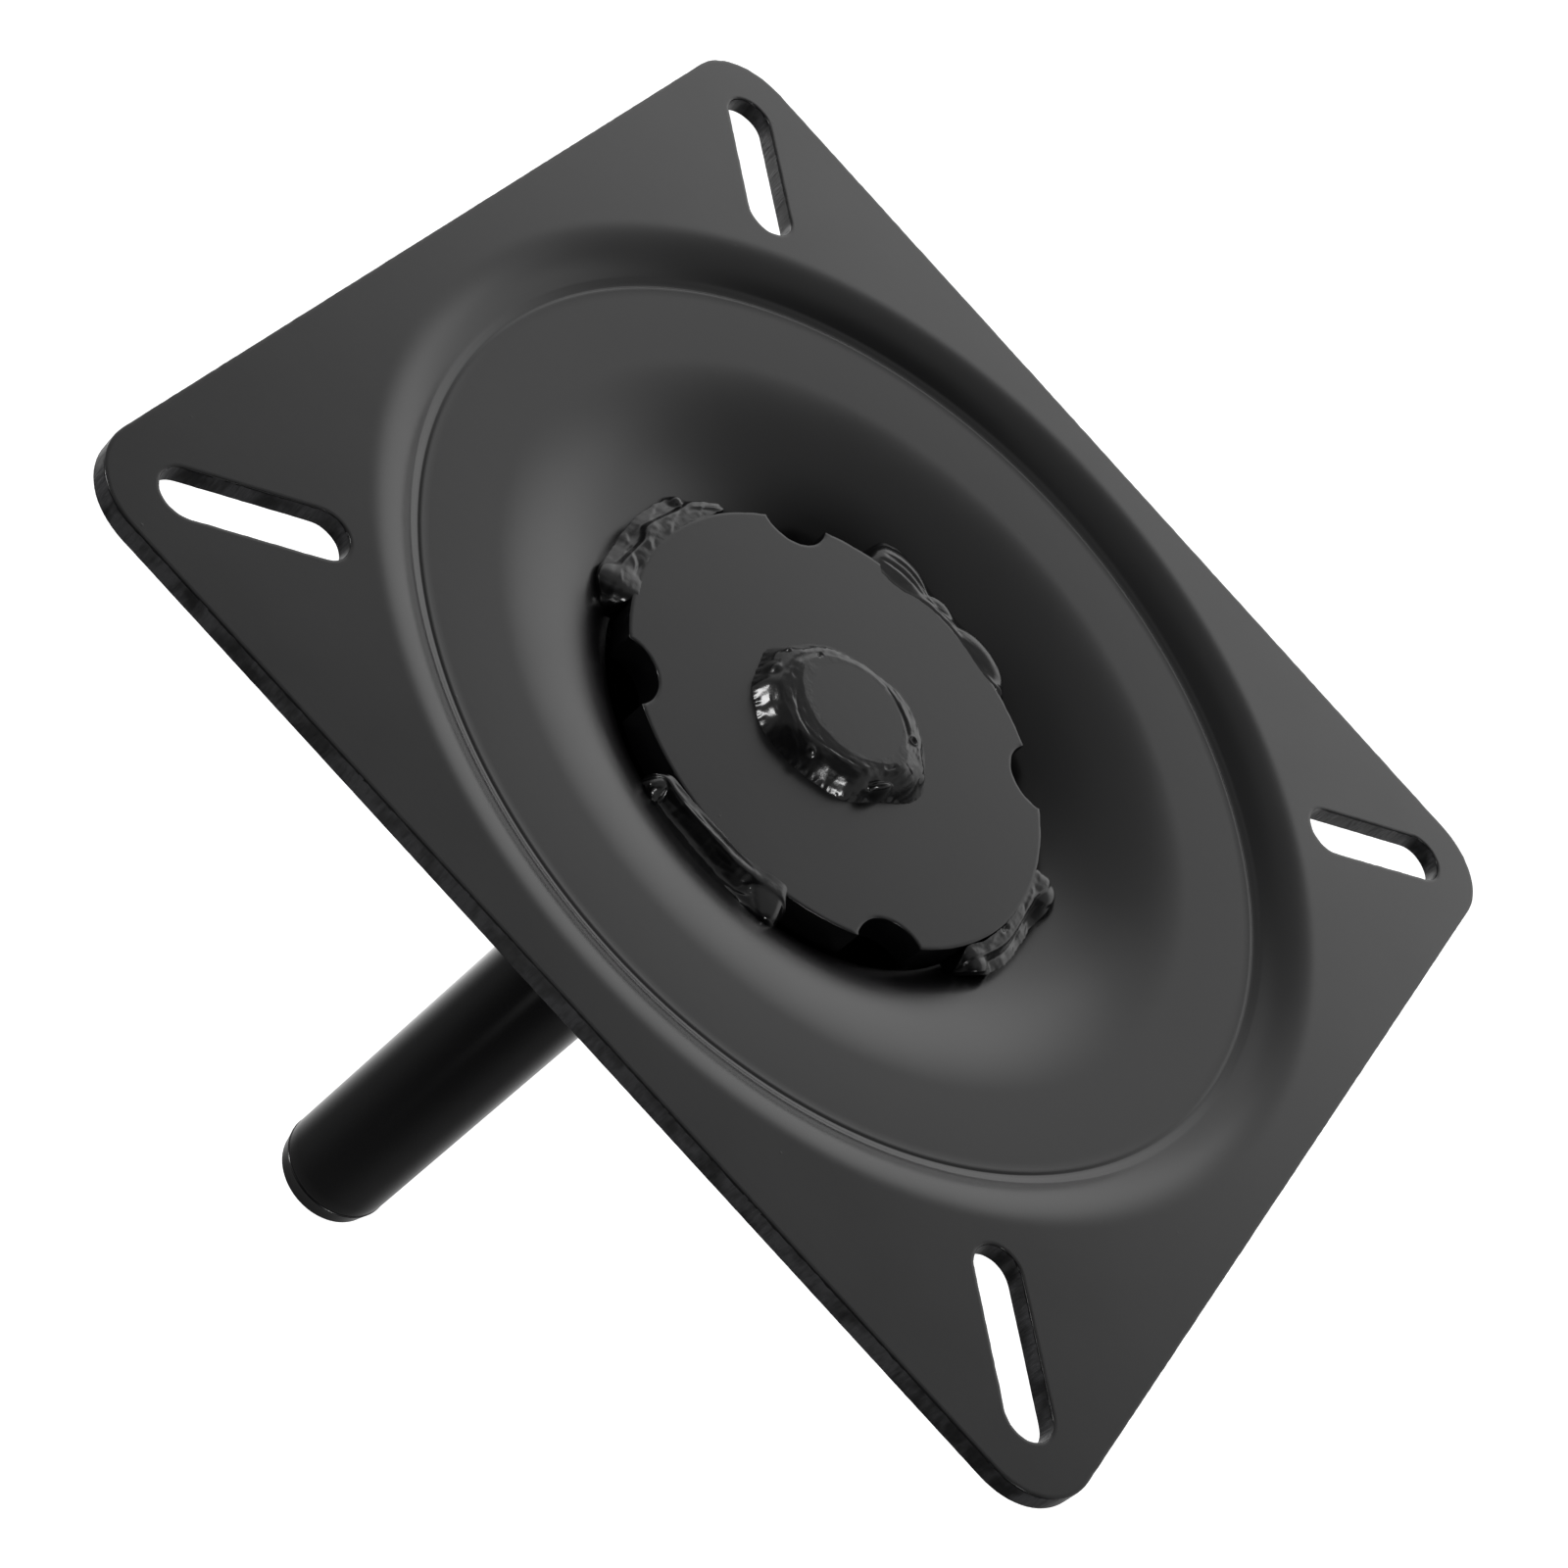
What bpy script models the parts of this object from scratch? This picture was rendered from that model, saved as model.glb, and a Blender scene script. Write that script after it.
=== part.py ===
"""Boat seat swivel: a stamped square seat plate, dished in the middle, on a round post.

The seat bolts to the plate through a slot in each corner. The post drops into the tube
of a pedestal and turns there, so the welded part itself holds nothing that moves.

Everything is in metres. +Z is up, towards the seat, and X and Y run along the plate's
sides. The origin is on the post's axis, level with the underside of the cup's floor.
"""

from functools import partial
from math import acos, atan2, ceil, cos, pi, radians, sin, sqrt, tan

import bmesh
import bpy

# Clearance between neighbouring solids
GAP = 0.0003

# Seat plate: one square of sheet steel, sheared with round corners
PLATE_SIDE = 0.1778
PLATE_THICKNESS = 0.0030
PLATE_CORNER_RADIUS = 0.0110
EDGE_BREAK = 0.0002

# Bolt slots, each along a diagonal: the land left inside it, and out to the round corner
SLOT_WIDTH = 0.0080
SLOT_INNER_LAND = 0.0037
SLOT_OUTER_LAND = 0.0076

# Dish: a soft shoulder falls to a gently sloping ledge, with a line coined where they meet
SIDE_FLAT = 0.0066
LEDGE_DEPTH = 0.0034
LEAST_LEDGE = 0.0040
LEDGE_TILT = radians(1.75)
SHOULDER_BEND = 0.0120
FOOT_BEND = 0.0025
COINED_RISE = 0.00015
COINED_FLANK = 0.0004
COINED_FADE = 0.0014

# Cup: a bell mouth rolls in from the ledge, then a tighter throat on which the disc's rim
# rests, and a lip turns it down to a steep wall and a floor
BELL_BEND = 0.0395
BELL_TILT = radians(30)
THROAT_BEND = 0.0260
THROAT_TILT = radians(45)
LIP_BEND = 0.0050
WALL_TILT = radians(80)
FLOOR_BEND = 0.0030
CUP_DEPTH = 0.0220

# Hub disc: thick plate with a round notch between each two of its welds, its top a little
# above the place where the bell meets the throat
DISC_RADIUS = 0.0363
DISC_THICKNESS = 0.0050
DISC_RISE = 0.00135
DISC_TURN = radians(1)
NOTCH_RADIUS = 0.0060
NOTCH_DEPTH = 0.0042
WELD_ROOM = 0.0058

# Post: round bar, three quarters of an inch across, with a tapered lead at its end
POST_DIAMETER = 0.01905
POST_DROP = 0.1220
POST_STUB = 0.0040
LEAD_LENGTH = 0.0035
LEAD_TAPER = 0.0006
TIP_ROUND = 0.0008

# Weld beads: how far each laps, bulges and reaches, and the ripples of its making
RIM_WELD_LAP = 0.0010
RIM_WELD_DROP = 0.0015
RIM_WELD_ROOT = 0.0008
RIM_WELD_CROWN = 0.0012
TOP_WELD_LEG = 0.0052
TOP_WELD_CROWN = 0.0008
UNDER_WELD_LEG = 0.0048
UNDER_WELD_CROWN = 0.0005
RIPPLE_PITCH = 0.0024
RIPPLE_HEIGHT = 0.0003

# Rim welds round the disc: the middle and the half width of each
RIM_WELDS = {
    "rim_weld_front": (radians(-90), radians(18)),
    "rim_weld_right": (radians(-1), radians(20)),
    "rim_weld_back": (radians(92), radians(22)),
    "rim_weld_left": (radians(186), radians(21)),
}

# Coats of black paint: the grey of each, and its roughness
PLATE_COAT = (0.030, 0.35)
DISC_COAT = (0.032, 0.35)
POST_COAT = (0.020, 0.22)
WELD_COAT = (0.018, 0.12)

# Fineness of the meshes
ROUND_STEPS = 64
BEND_STEP_TURN = radians(14)
BEND_STEP_LENGTH = 0.0045
CORNER_STEPS = 8
SLOT_END_STEPS = 10
NOTCH_STEPS = 12
RIM_STEPS = 14
TIP_STEPS = 3
FLANK_STEPS = 3
CROWN_STEPS = 4
BEAD_END_STEPS = 3
SHARP_ANGLE = radians(25)

# Levels and radii that follow from the sizes above
SQUARE = pi / 2
SEAT_LEVEL = PLATE_THICKNESS + CUP_DEPTH
PLATE_UNDERSIDE = SEAT_LEVEL - PLATE_THICKNESS
LEDGE_LEVEL = SEAT_LEVEL - LEDGE_DEPTH
DISH_RADIUS = PLATE_SIDE / 2 - SIDE_FLAT
SHOULDER_DROP = FOOT_BEND * cos(LEDGE_TILT) + SHOULDER_BEND - LEDGE_DEPTH
SHOULDER_TILT = acos(SHOULDER_DROP / (FOOT_BEND + SHOULDER_BEND))
FOOT_RADIUS = DISH_RADIUS - SHOULDER_BEND * sin(SHOULDER_TILT)
COINED_LINE_RADIUS = FOOT_RADIUS - FOOT_BEND * (sin(SHOULDER_TILT) - sin(LEDGE_TILT))
MOUTH_RADIUS = DISC_RADIUS + WELD_ROOM
BELL_SPREAD = sin(BELL_TILT) - sin(LEDGE_TILT)
BELL_ROOM = COINED_LINE_RADIUS - LEAST_LEDGE - MOUTH_RADIUS
BELL_RADIUS = min(BELL_BEND, BELL_ROOM / BELL_SPREAD)
LEDGE_WIDTH = COINED_LINE_RADIUS - MOUTH_RADIUS - BELL_RADIUS * BELL_SPREAD
BELL_DROP = BELL_RADIUS * (cos(LEDGE_TILT) - cos(BELL_TILT))
MOUTH_DROP = LEDGE_DEPTH + LEDGE_WIDTH * tan(LEDGE_TILT) + BELL_DROP
THROAT_RADIUS = MOUTH_RADIUS - THROAT_BEND * (sin(THROAT_TILT) - sin(BELL_TILT))
WALL_TOP_RADIUS = THROAT_RADIUS - LIP_BEND * (sin(WALL_TILT) - sin(THROAT_TILT))
DISC_TOP = SEAT_LEVEL - MOUTH_DROP + DISC_RISE
NOTCH_REACH = DISC_RADIUS - NOTCH_DEPTH + NOTCH_RADIUS
CORNER_MIDDLE = PLATE_SIDE / 2 - PLATE_CORNER_RADIUS
CORNER_REACH = sqrt(2) * CORNER_MIDDLE + PLATE_CORNER_RADIUS
POST_RADIUS = POST_DIAMETER / 2
POST_HOLE_RADIUS = POST_RADIUS + GAP
POST_TOP = DISC_TOP + POST_STUB


# Points in plan

def polar(radius, angle, centre=(0.0, 0.0)):
    """A point at a radius and an angle from a centre."""
    return (centre[0] + radius * cos(angle), centre[1] + radius * sin(angle))


def arc(radius, start, end, centre, steps):
    """Points along an arc, both ends included."""
    return [polar(radius, start + (end - start) * i / steps, centre) for i in range(steps + 1)]


def circle(radius, inset=0.0):
    """A circle about the post's axis; as a hole's edge, an inset opens it out."""
    return [polar(radius + inset, 2 * pi * i / ROUND_STEPS) for i in range(ROUND_STEPS)]


def rounded_square(inset):
    """The plate's outline, drawn in by an inset."""
    points = []
    for quarter, (x, y) in enumerate(((1, 1), (-1, 1), (-1, -1), (1, -1))):
        start = quarter * SQUARE
        centre = (x * CORNER_MIDDLE, y * CORNER_MIDDLE)
        points += arc(PLATE_CORNER_RADIUS - inset, start, start + SQUARE, centre, CORNER_STEPS)
    return points


def slot(angle, inset):
    """A bolt slot's outline, opened out by an inset."""
    radius = SLOT_WIDTH / 2 + inset
    outer = polar(CORNER_REACH - SLOT_OUTER_LAND - SLOT_WIDTH / 2, angle)
    inner = polar(DISH_RADIUS + SLOT_INNER_LAND + SLOT_WIDTH / 2, angle)
    outer_end = arc(radius, angle - SQUARE, angle + SQUARE, outer, SLOT_END_STEPS)
    inner_end = arc(radius, angle + SQUARE, angle + 3 * SQUARE, inner, SLOT_END_STEPS)
    return outer_end + inner_end


def notched_circle(inset):
    """The hub disc's outline, drawn in by an inset: a circle with four round bites."""
    rim = DISC_RADIUS - inset
    bite = NOTCH_RADIUS + inset
    half = acos((rim ** 2 + NOTCH_REACH ** 2 - bite ** 2) / (2 * rim * NOTCH_REACH))
    mouth = atan2(rim * sin(half), rim * cos(half) - NOTCH_REACH)
    points = []
    for quarter in range(4):
        angle = (quarter + 0.5) * SQUARE
        centre = polar(NOTCH_REACH, angle)
        points += arc(bite, angle - mouth, angle + mouth - 2 * pi, centre, NOTCH_STEPS)
        points += arc(rim, angle + half, angle + SQUARE - half, (0.0, 0.0), RIM_STEPS)[1:-1]
    return points


# Sections: points of radius and height, or paths of such points with the sheet's tilt

def moved(point, direction, distance):
    """A point in section, moved a distance in a direction."""
    return (point[0] + distance * cos(direction), point[1] + distance * sin(direction))


def bend(path, radius, tilt):
    """Carries the sheet's upper surface on round a bend, to a new tilt."""
    point, start = path[-1]
    side = SQUARE if tilt > start else -SQUARE
    centre = moved(point, start + side, radius)
    turn = tilt - start
    steps = ceil(max(abs(turn) / BEND_STEP_TURN, abs(turn) * radius / BEND_STEP_LENGTH))
    for i in range(1, steps + 1):
        now = start + turn * i / steps
        path.append((moved(centre, now - side, radius), now))


def cup_path():
    """The upper surface from the post's hole out to the ledge.

    The wall's height is what the bends leave of the cup's depth, and the floor's flat is
    what the wall and its bend leave of the cup's radius.
    """
    throat_drop = THROAT_BEND * (cos(BELL_TILT) - cos(THROAT_TILT))
    lip_drop = LIP_BEND * (cos(THROAT_TILT) - cos(WALL_TILT))
    rise_off_floor = FLOOR_BEND * (1 - cos(WALL_TILT))
    wall_rise = CUP_DEPTH - MOUTH_DROP - throat_drop - lip_drop - rise_off_floor
    wall_length = wall_rise / sin(WALL_TILT)
    floor_radius = WALL_TOP_RADIUS - wall_rise / tan(WALL_TILT) - FLOOR_BEND * sin(WALL_TILT)
    path = [((POST_HOLE_RADIUS, PLATE_THICKNESS), 0.0), ((floor_radius, PLATE_THICKNESS), 0.0)]
    bend(path, FLOOR_BEND, WALL_TILT)
    path.append((moved(path[-1][0], WALL_TILT, wall_length), WALL_TILT))
    bend(path, LIP_BEND, THROAT_TILT)
    bend(path, THROAT_BEND, BELL_TILT)
    bend(path, BELL_RADIUS, LEDGE_TILT)
    return path


def shoulder_path():
    """The upper surface from the coined line out to the flat of the plate."""
    path = [((COINED_LINE_RADIUS, LEDGE_LEVEL), LEDGE_TILT)]
    bend(path, FOOT_BEND, SHOULDER_TILT)
    bend(path, SHOULDER_BEND, 0.0)
    return path


def offset(path, distance):
    """A path's points, moved square to the sheet."""
    return [moved(point, tilt + SQUARE, distance) for point, tilt in path]


def coined_ridge():
    """The low ridge that the die raised inside the coined line, on the upper side alone."""
    foot = (COINED_LINE_RADIUS - COINED_FADE, LEDGE_LEVEL - COINED_FADE * tan(LEDGE_TILT))
    crest = (COINED_LINE_RADIUS - COINED_FLANK, LEDGE_LEVEL + COINED_RISE)
    return [foot, crest]


def at_height(points, height):
    """The point where a rising line of points reaches a height."""
    for (r0, z0), (r1, z1) in zip(points, points[1:]):
        if z0 < height <= z1:
            share = (height - z0) / (z1 - z0)
            return (r0 + (r1 - r0) * share, height)
    raise ValueError("the line doesn't reach this height")


def crowned(start, end, crown):
    """Points from one toe of a weld to the other, bulging to the left of the way."""
    run, rise = end[0] - start[0], end[1] - start[1]
    length = sqrt(run ** 2 + rise ** 2)
    points = []
    for i in range(CROWN_STEPS + 1):
        share = i / CROWN_STEPS
        bulge = 4 * share * (1 - share) * crown / length
        points.append((start[0] + run * share - rise * bulge, start[1] + rise * share + run * bulge))
    return points


def ripple(distance):
    """How high the frozen ripples of a weld stand, at a distance along it."""
    return RIPPLE_HEIGHT * abs(sin(pi * distance / RIPPLE_PITCH))


# Mesh building

def lay_ring(bm, points):
    """A ring of vertices."""
    return [bm.verts.new(point) for point in points]


def level_ring(bm, points, height):
    """A ring of vertices at one height, from points in plan."""
    return lay_ring(bm, [(x, y, height) for x, y in points])


def join_rings(bm, rings):
    """A wall of quads from each ring to the next."""
    for near, far in zip(rings, rings[1:]):
        for i in range(len(near)):
            bm.faces.new((near[i - 1], near[i], far[i], far[i - 1]))


def cover(bm, rings):
    """A flat face inside the first ring, open inside the others."""
    edges = []
    for ring in rings:
        for i in range(len(ring)):
            edges.append(bm.edges.get((ring[i - 1], ring[i])))
    bmesh.ops.triangle_fill(bm, use_beauty=True, edges=edges)


def cut_edges(bm, outlines, top, bottom):
    """The walls of cut edges with their corners broken; gives their top and bottom rings."""
    levels = ((EDGE_BREAK, top), (0.0, top - EDGE_BREAK), (0.0, bottom + EDGE_BREAK), (EDGE_BREAK, bottom))
    top_rings, bottom_rings = [], []
    for outline in outlines:
        rings = [level_ring(bm, outline(inset), height) for inset, height in levels]
        join_rings(bm, rings)
        top_rings.append(rings[0])
        bottom_rings.append(rings[-1])
    return top_rings, bottom_rings


def turned(bm, section):
    """The rings of a section turned about the post's axis, joined in order."""
    rings = [level_ring(bm, circle(radius), height) for radius, height in section]
    join_rings(bm, rings)
    return rings


def swept(bm, sections, angles):
    """The rings of closed sections, each stood up at its own angle, joined in order."""
    rings = []
    for section, angle in zip(sections, angles):
        rings.append(lay_ring(bm, [(r * cos(angle), r * sin(angle), z) for r, z in section]))
    join_rings(bm, rings)
    return rings


def paint(name, coat):
    """Black paint over steel: a Principled material of one grey value."""
    value, roughness = coat
    material = bpy.data.materials.new(name)
    material.use_nodes = True
    shader = material.node_tree.nodes["Principled BSDF"]
    shader.inputs["Base Color"].default_value = (value, value, value, 1.0)
    shader.inputs["Roughness"].default_value = roughness
    shader.inputs["Metallic"].default_value = 0.0
    return material


def add_object(name, bm, material, height=0.0, turn=0.0):
    """Closes a mesh up as a named object, placed on the post's axis."""
    bmesh.ops.recalc_face_normals(bm, faces=bm.faces)
    mesh = bpy.data.meshes.new(name)
    bm.to_mesh(mesh)
    bm.free()
    mesh.shade_smooth()
    mesh.set_sharp_from_angle(angle=SHARP_ANGLE)
    mesh.materials.append(material)
    piece = bpy.data.objects.new(name, mesh)
    piece.location.z = height
    piece.rotation_euler.z = turn
    bpy.context.scene.collection.objects.link(piece)
    return piece


# The pieces

def make_seat_plate():
    """The stamping: a square flat with four slots, turned down into the dish and the cup."""
    bm = bmesh.new()
    cup, shoulder = cup_path(), shoulder_path()
    upper = offset(cup, 0.0) + coined_ridge() + offset(shoulder, 0.0)
    lower = offset(cup, -PLATE_THICKNESS) + offset(shoulder, -PLATE_THICKNESS)
    dish = turned(bm, upper[::-1] + lower)
    outlines = [rounded_square] + [partial(slot, (quarter + 0.5) * SQUARE) for quarter in range(4)]
    top_rings, bottom_rings = cut_edges(bm, outlines, SEAT_LEVEL, PLATE_UNDERSIDE)
    cover(bm, top_rings + [dish[0]])
    cover(bm, bottom_rings + [dish[-1]])
    return add_object("seat_plate", bm, paint("plate_paint", PLATE_COAT))


def make_hub_disc():
    """The thick disc that ties the post to the cup, drawn with its top at its own origin."""
    bm = bmesh.new()
    outlines = [notched_circle, partial(circle, POST_HOLE_RADIUS)]
    top_rings, bottom_rings = cut_edges(bm, outlines, 0.0, -DISC_THICKNESS)
    cover(bm, top_rings)
    cover(bm, bottom_rings)
    material = paint("disc_paint", DISC_COAT)
    return add_object("hub_disc", bm, material, height=DISC_TOP, turn=DISC_TURN)


def make_post():
    """The bar, from its round-edged tip up its tapered lead to the stub above the disc."""
    bm = bmesh.new()
    tip_radius = POST_RADIUS - LEAD_TAPER
    tip_centre = (tip_radius - TIP_ROUND, -POST_DROP + TIP_ROUND)
    section = arc(TIP_ROUND, -SQUARE, 0.0, tip_centre, TIP_STEPS)
    section.append((POST_RADIUS, -POST_DROP + LEAD_LENGTH))
    section.append((POST_RADIUS, POST_TOP - EDGE_BREAK))
    section.append((POST_RADIUS - EDGE_BREAK, POST_TOP))
    rings = turned(bm, section)
    cover(bm, rings[:1])
    cover(bm, rings[-1:])
    return add_object("post", bm, paint("post_paint", POST_COAT))


def ring_weld(name, root, post_toe, disc_toe, crown, material):
    """A fillet weld right round the post, with its root in the corner."""
    bm = bmesh.new()
    leg_radius = (post_toe[0] + disc_toe[0]) / 2
    ripples = round(2 * pi * leg_radius / RIPPLE_PITCH)
    steps = 2 * ripples
    angles = [2 * pi * i / steps for i in range(steps)]
    sections = []
    for i in range(steps):
        height = crown + ripple(i * RIPPLE_PITCH / 2)
        sections.append([root] + crowned(post_toe, disc_toe, height))
    rings = swept(bm, sections, angles)
    join_rings(bm, [rings[-1], rings[0]])
    return add_object(name, bm, material)


def make_ring_welds(material):
    """The welds that hold the post: one on the disc, one under the cup's floor."""
    inner = POST_RADIUS + GAP
    above = DISC_TOP + GAP
    top_toe = (inner, POST_TOP - EDGE_BREAK)
    top = ring_weld("post_top_weld", (inner, above), top_toe, (inner + TOP_WELD_LEG, above),
                    TOP_WELD_CROWN, material)
    low_toe = (inner, -GAP - UNDER_WELD_LEG)
    under = ring_weld("post_under_weld", (inner, -GAP), low_toe, (inner + UNDER_WELD_LEG, -GAP),
                      -UNDER_WELD_CROWN, material)
    return [top, under]


def rim_section(crown):
    """A rim weld's section: it fills the groove between the disc and the cup's throat."""
    throat = offset(cup_path(), GAP)
    root_level = DISC_TOP - DISC_THICKNESS + RIM_WELD_ROOT
    toe_level = DISC_TOP - RIM_WELD_DROP
    flank = []
    for i in range(FLANK_STEPS + 1):
        flank.append(at_height(throat, root_level + (toe_level - root_level) * i / FLANK_STEPS))
    side = DISC_RADIUS + GAP
    above = DISC_TOP + GAP
    inner_toe = (DISC_RADIUS - RIM_WELD_LAP, above)
    return [(side, above), (side, root_level)] + flank + crowned(flank[-1], inner_toe, -crown)[1:]


def shrunk(section, centre, scale):
    """A section drawn in towards a point inside it."""
    return [(centre[0] + (r - centre[0]) * scale, centre[1] + (z - centre[1]) * scale) for r, z in section]


def make_rim_weld(name, middle, half_width, material):
    """One short weld between the disc's rim and the cup, with rounded ends."""
    bm = bmesh.new()
    plain = rim_section(0.0)
    centre = ((plain[-1][0] + plain[-CROWN_STEPS - 1][0]) / 2, DISC_TOP + GAP + RIM_WELD_CROWN / 4)
    length = 2 * half_width * centre[0]
    steps = 2 * round(length / RIPPLE_PITCH)
    sections, angles = [], []
    for i in range(steps + 1):
        from_end = min(i, steps - i)
        full = min(1.0, (from_end + 0.5) / BEAD_END_STEPS)
        section = rim_section(RIM_WELD_CROWN + ripple(i * RIPPLE_PITCH / 2))
        sections.append(shrunk(section, centre, sqrt(1 - (1 - full) ** 2)))
        angles.append(-half_width + 2 * half_width * i / steps)
    rings = swept(bm, sections, angles)
    bm.faces.new(rings[0])
    bm.faces.new(rings[-1])
    return add_object(name, bm, material, turn=middle)


def main():
    """Clears the scene and makes the swivel's pieces, all carried by one empty."""
    for old in list(bpy.data.objects):
        bpy.data.objects.remove(old, do_unlink=True)
    weld_paint = paint("weld_paint", WELD_COAT)
    pieces = [make_seat_plate(), make_hub_disc(), make_post()]
    pieces += make_ring_welds(weld_paint)
    for name, (middle, half_width) in RIM_WELDS.items():
        pieces.append(make_rim_weld(name, middle, half_width, weld_paint))
    post_axis = bpy.data.objects.new("post_axis", None)
    bpy.context.scene.collection.objects.link(post_axis)
    for piece in pieces:
        piece.parent = post_axis


main()
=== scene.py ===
# %% [markdown]
# # Boat seat swivel: dressing the solids for their picture
# The frame holds the swivel's solids, which are right in size and place but plain: flat
# facets, one colour each. This lesson gives them what the eye looks for. The stamping gets
# smooth bends and sheared edges, the welds get the lumps that a hand leaves, and each
# surface gets the black coat of a dipped part. Nothing here moves or resizes the part.

# %% Load the frame
from math import acos, ceil, cos, exp, pi, radians, sin, sqrt, tan

import bmesh
import bpy
from mathutils import Matrix, Quaternion, Vector, noise


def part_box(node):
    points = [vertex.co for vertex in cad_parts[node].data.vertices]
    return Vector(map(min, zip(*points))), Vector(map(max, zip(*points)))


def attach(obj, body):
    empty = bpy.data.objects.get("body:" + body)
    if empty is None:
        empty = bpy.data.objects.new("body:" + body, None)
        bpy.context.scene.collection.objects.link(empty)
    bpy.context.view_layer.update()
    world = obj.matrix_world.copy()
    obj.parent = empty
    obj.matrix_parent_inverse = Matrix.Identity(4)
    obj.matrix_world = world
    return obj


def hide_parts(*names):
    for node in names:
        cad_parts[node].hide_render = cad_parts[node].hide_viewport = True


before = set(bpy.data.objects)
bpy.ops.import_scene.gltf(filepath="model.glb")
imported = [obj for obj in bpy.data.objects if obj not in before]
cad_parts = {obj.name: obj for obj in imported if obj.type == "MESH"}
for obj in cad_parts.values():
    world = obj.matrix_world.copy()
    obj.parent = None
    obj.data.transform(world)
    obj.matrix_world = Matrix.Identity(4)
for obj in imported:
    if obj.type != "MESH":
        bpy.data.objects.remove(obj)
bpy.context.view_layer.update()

print("solids:", sorted(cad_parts))

# %% [markdown]
# ## Sizes
# The script works in millimetres, because that is how a metal worker thinks of a plate, and
# turns each finished mesh to metres once. The main levels are read from the solids' boxes,
# so the fine meshes land exactly on the plain ones. What a box can't tell, such as a bend's
# radius, is repeated here as a named value.

# %% Levels and radii, in millimetres
MM = 0.001
TURN = 2 * pi
SQUARE = pi / 2


def box_mm(node):
    """The lowest and the highest corner of a solid, in millimetres."""
    low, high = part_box(node)
    return low / MM, high / MM


plate_high = box_mm("seat_plate")[1]
disc_low, disc_high = box_mm("hub_disc")
post_low, post_high = box_mm("post")

SEAT = plate_high.z
SHEET = 3.0
HALF_SIDE = plate_high.x
CUP_DEPTH = SEAT - SHEET
DISC_TOP = disc_high.z
DISC_RADIUS = disc_high.x
POST_TOP = post_high.z
POST_END = post_low.z
POST_RADIUS = post_high.x
print(f"seat {SEAT:.1f}, disc top {DISC_TOP:.1f} and radius {DISC_RADIUS:.2f}")
print(f"post {POST_END:.1f} to {POST_TOP:.1f}, radius {POST_RADIUS:.3f}")

# %% [markdown]
# ## The camera
# The photograph looks down on the plate from its front, from about 38 degrees above, and
# the camera is rolled by almost 49 degrees, so the square stands on a corner. The lens is
# long, which keeps the plate's sides nearly parallel. Place, aim and roll were solved from
# the four corners of the plate.

# %% Camera
CAMERA_PLACE = Vector((-0.01475, -0.44094, 0.34915))
CAMERA_AIM = Vector((0.000475, -0.011973, 0.0120))
CAMERA_ROLL = radians(48.90)
LENS = 89.82

camera_data = bpy.data.cameras.new("camera")
camera_data.lens = LENS
camera_data.clip_start = 0.01
camera = bpy.data.objects.new("camera", camera_data)
bpy.context.scene.collection.objects.link(camera)
camera.location = CAMERA_PLACE
view_line = (CAMERA_AIM - CAMERA_PLACE).normalized()
camera.rotation_mode = "QUATERNION"
camera.rotation_quaternion = view_line.to_track_quat("-Z", "Y") @ Quaternion((0, 0, 1), CAMERA_ROLL)
bpy.context.scene.camera = camera
print("camera looks along", [round(v, 3) for v in view_line])

# %% [markdown]
# ## Tools for meshes
# A ring is a loop of vertices. Almost everything here is rings joined in order: a turned
# section, a cut edge that runs round an outline, a weld bead swept along its seam. Flat
# faces with holes are filled between their outer ring and the rings of the holes.

# %% Rings and walls
def polar(radius, angle, centre=(0.0, 0.0)):
    """A point in plan at a radius and an angle from a centre."""
    return (centre[0] + radius * cos(angle), centre[1] + radius * sin(angle))


def arc(radius, start, end, centre, steps):
    """Points along an arc, both ends included."""
    return [polar(radius, start + (end - start) * i / steps, centre) for i in range(steps + 1)]


def lay_ring(bm, points):
    """A ring of vertices."""
    return [bm.verts.new(point) for point in points]


def join_rings(bm, rings, closed=True):
    """A wall of quads from each ring to the next."""
    for near, far in zip(rings, rings[1:]):
        for i in range(0 if closed else 1, len(near)):
            bm.faces.new((near[i - 1], near[i], far[i], far[i - 1]))


def cover(bm, rings):
    """A flat face inside the first ring, open inside the others."""
    edges = []
    for ring in rings:
        for i in range(len(ring)):
            edges.append(bm.edges.get((ring[i - 1], ring[i])))
    bmesh.ops.triangle_fill(bm, use_beauty=True, edges=edges)


def wobble(point, pitch, seed):
    """A smooth random value from -1 to 1 that changes over about one pitch."""
    return noise.noise(Vector(point) / pitch + Vector((seed, -seed, seed / 2)))


def add_piece(name, bm, materials, slot, *nodes, sharp=radians(40)):
    """Turns a mesh in millimetres into a finished piece that stands for CAD nodes."""
    bmesh.ops.recalc_face_normals(bm, faces=bm.faces)
    bm.transform(Matrix.Scale(MM, 4))
    mesh = bpy.data.meshes.new(name)
    bm.to_mesh(mesh)
    bm.free()
    mesh.shade_smooth()
    mesh.set_sharp_from_angle(angle=sharp)
    for material in materials:
        mesh.materials.append(material)
    piece = bpy.data.objects.new(name, mesh)
    bpy.context.scene.collection.objects.link(piece)
    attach(piece, "root")
    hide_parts(*nodes)
    print(f"{name}: {len(mesh.polygons)} faces")


# %% [markdown]
# ## Tools for materials
# Colours are written as sRGB hex, as a paint chart or an eyedropper gives them, and one
# function turns them to the linear values that the renderer works with. Every coat is made
# of the same few nodes: a cloud of noise, a range, a sum, a blend of two colours and a bump.
# Each has a short function here, so a material reads as a list of its layers.

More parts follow.
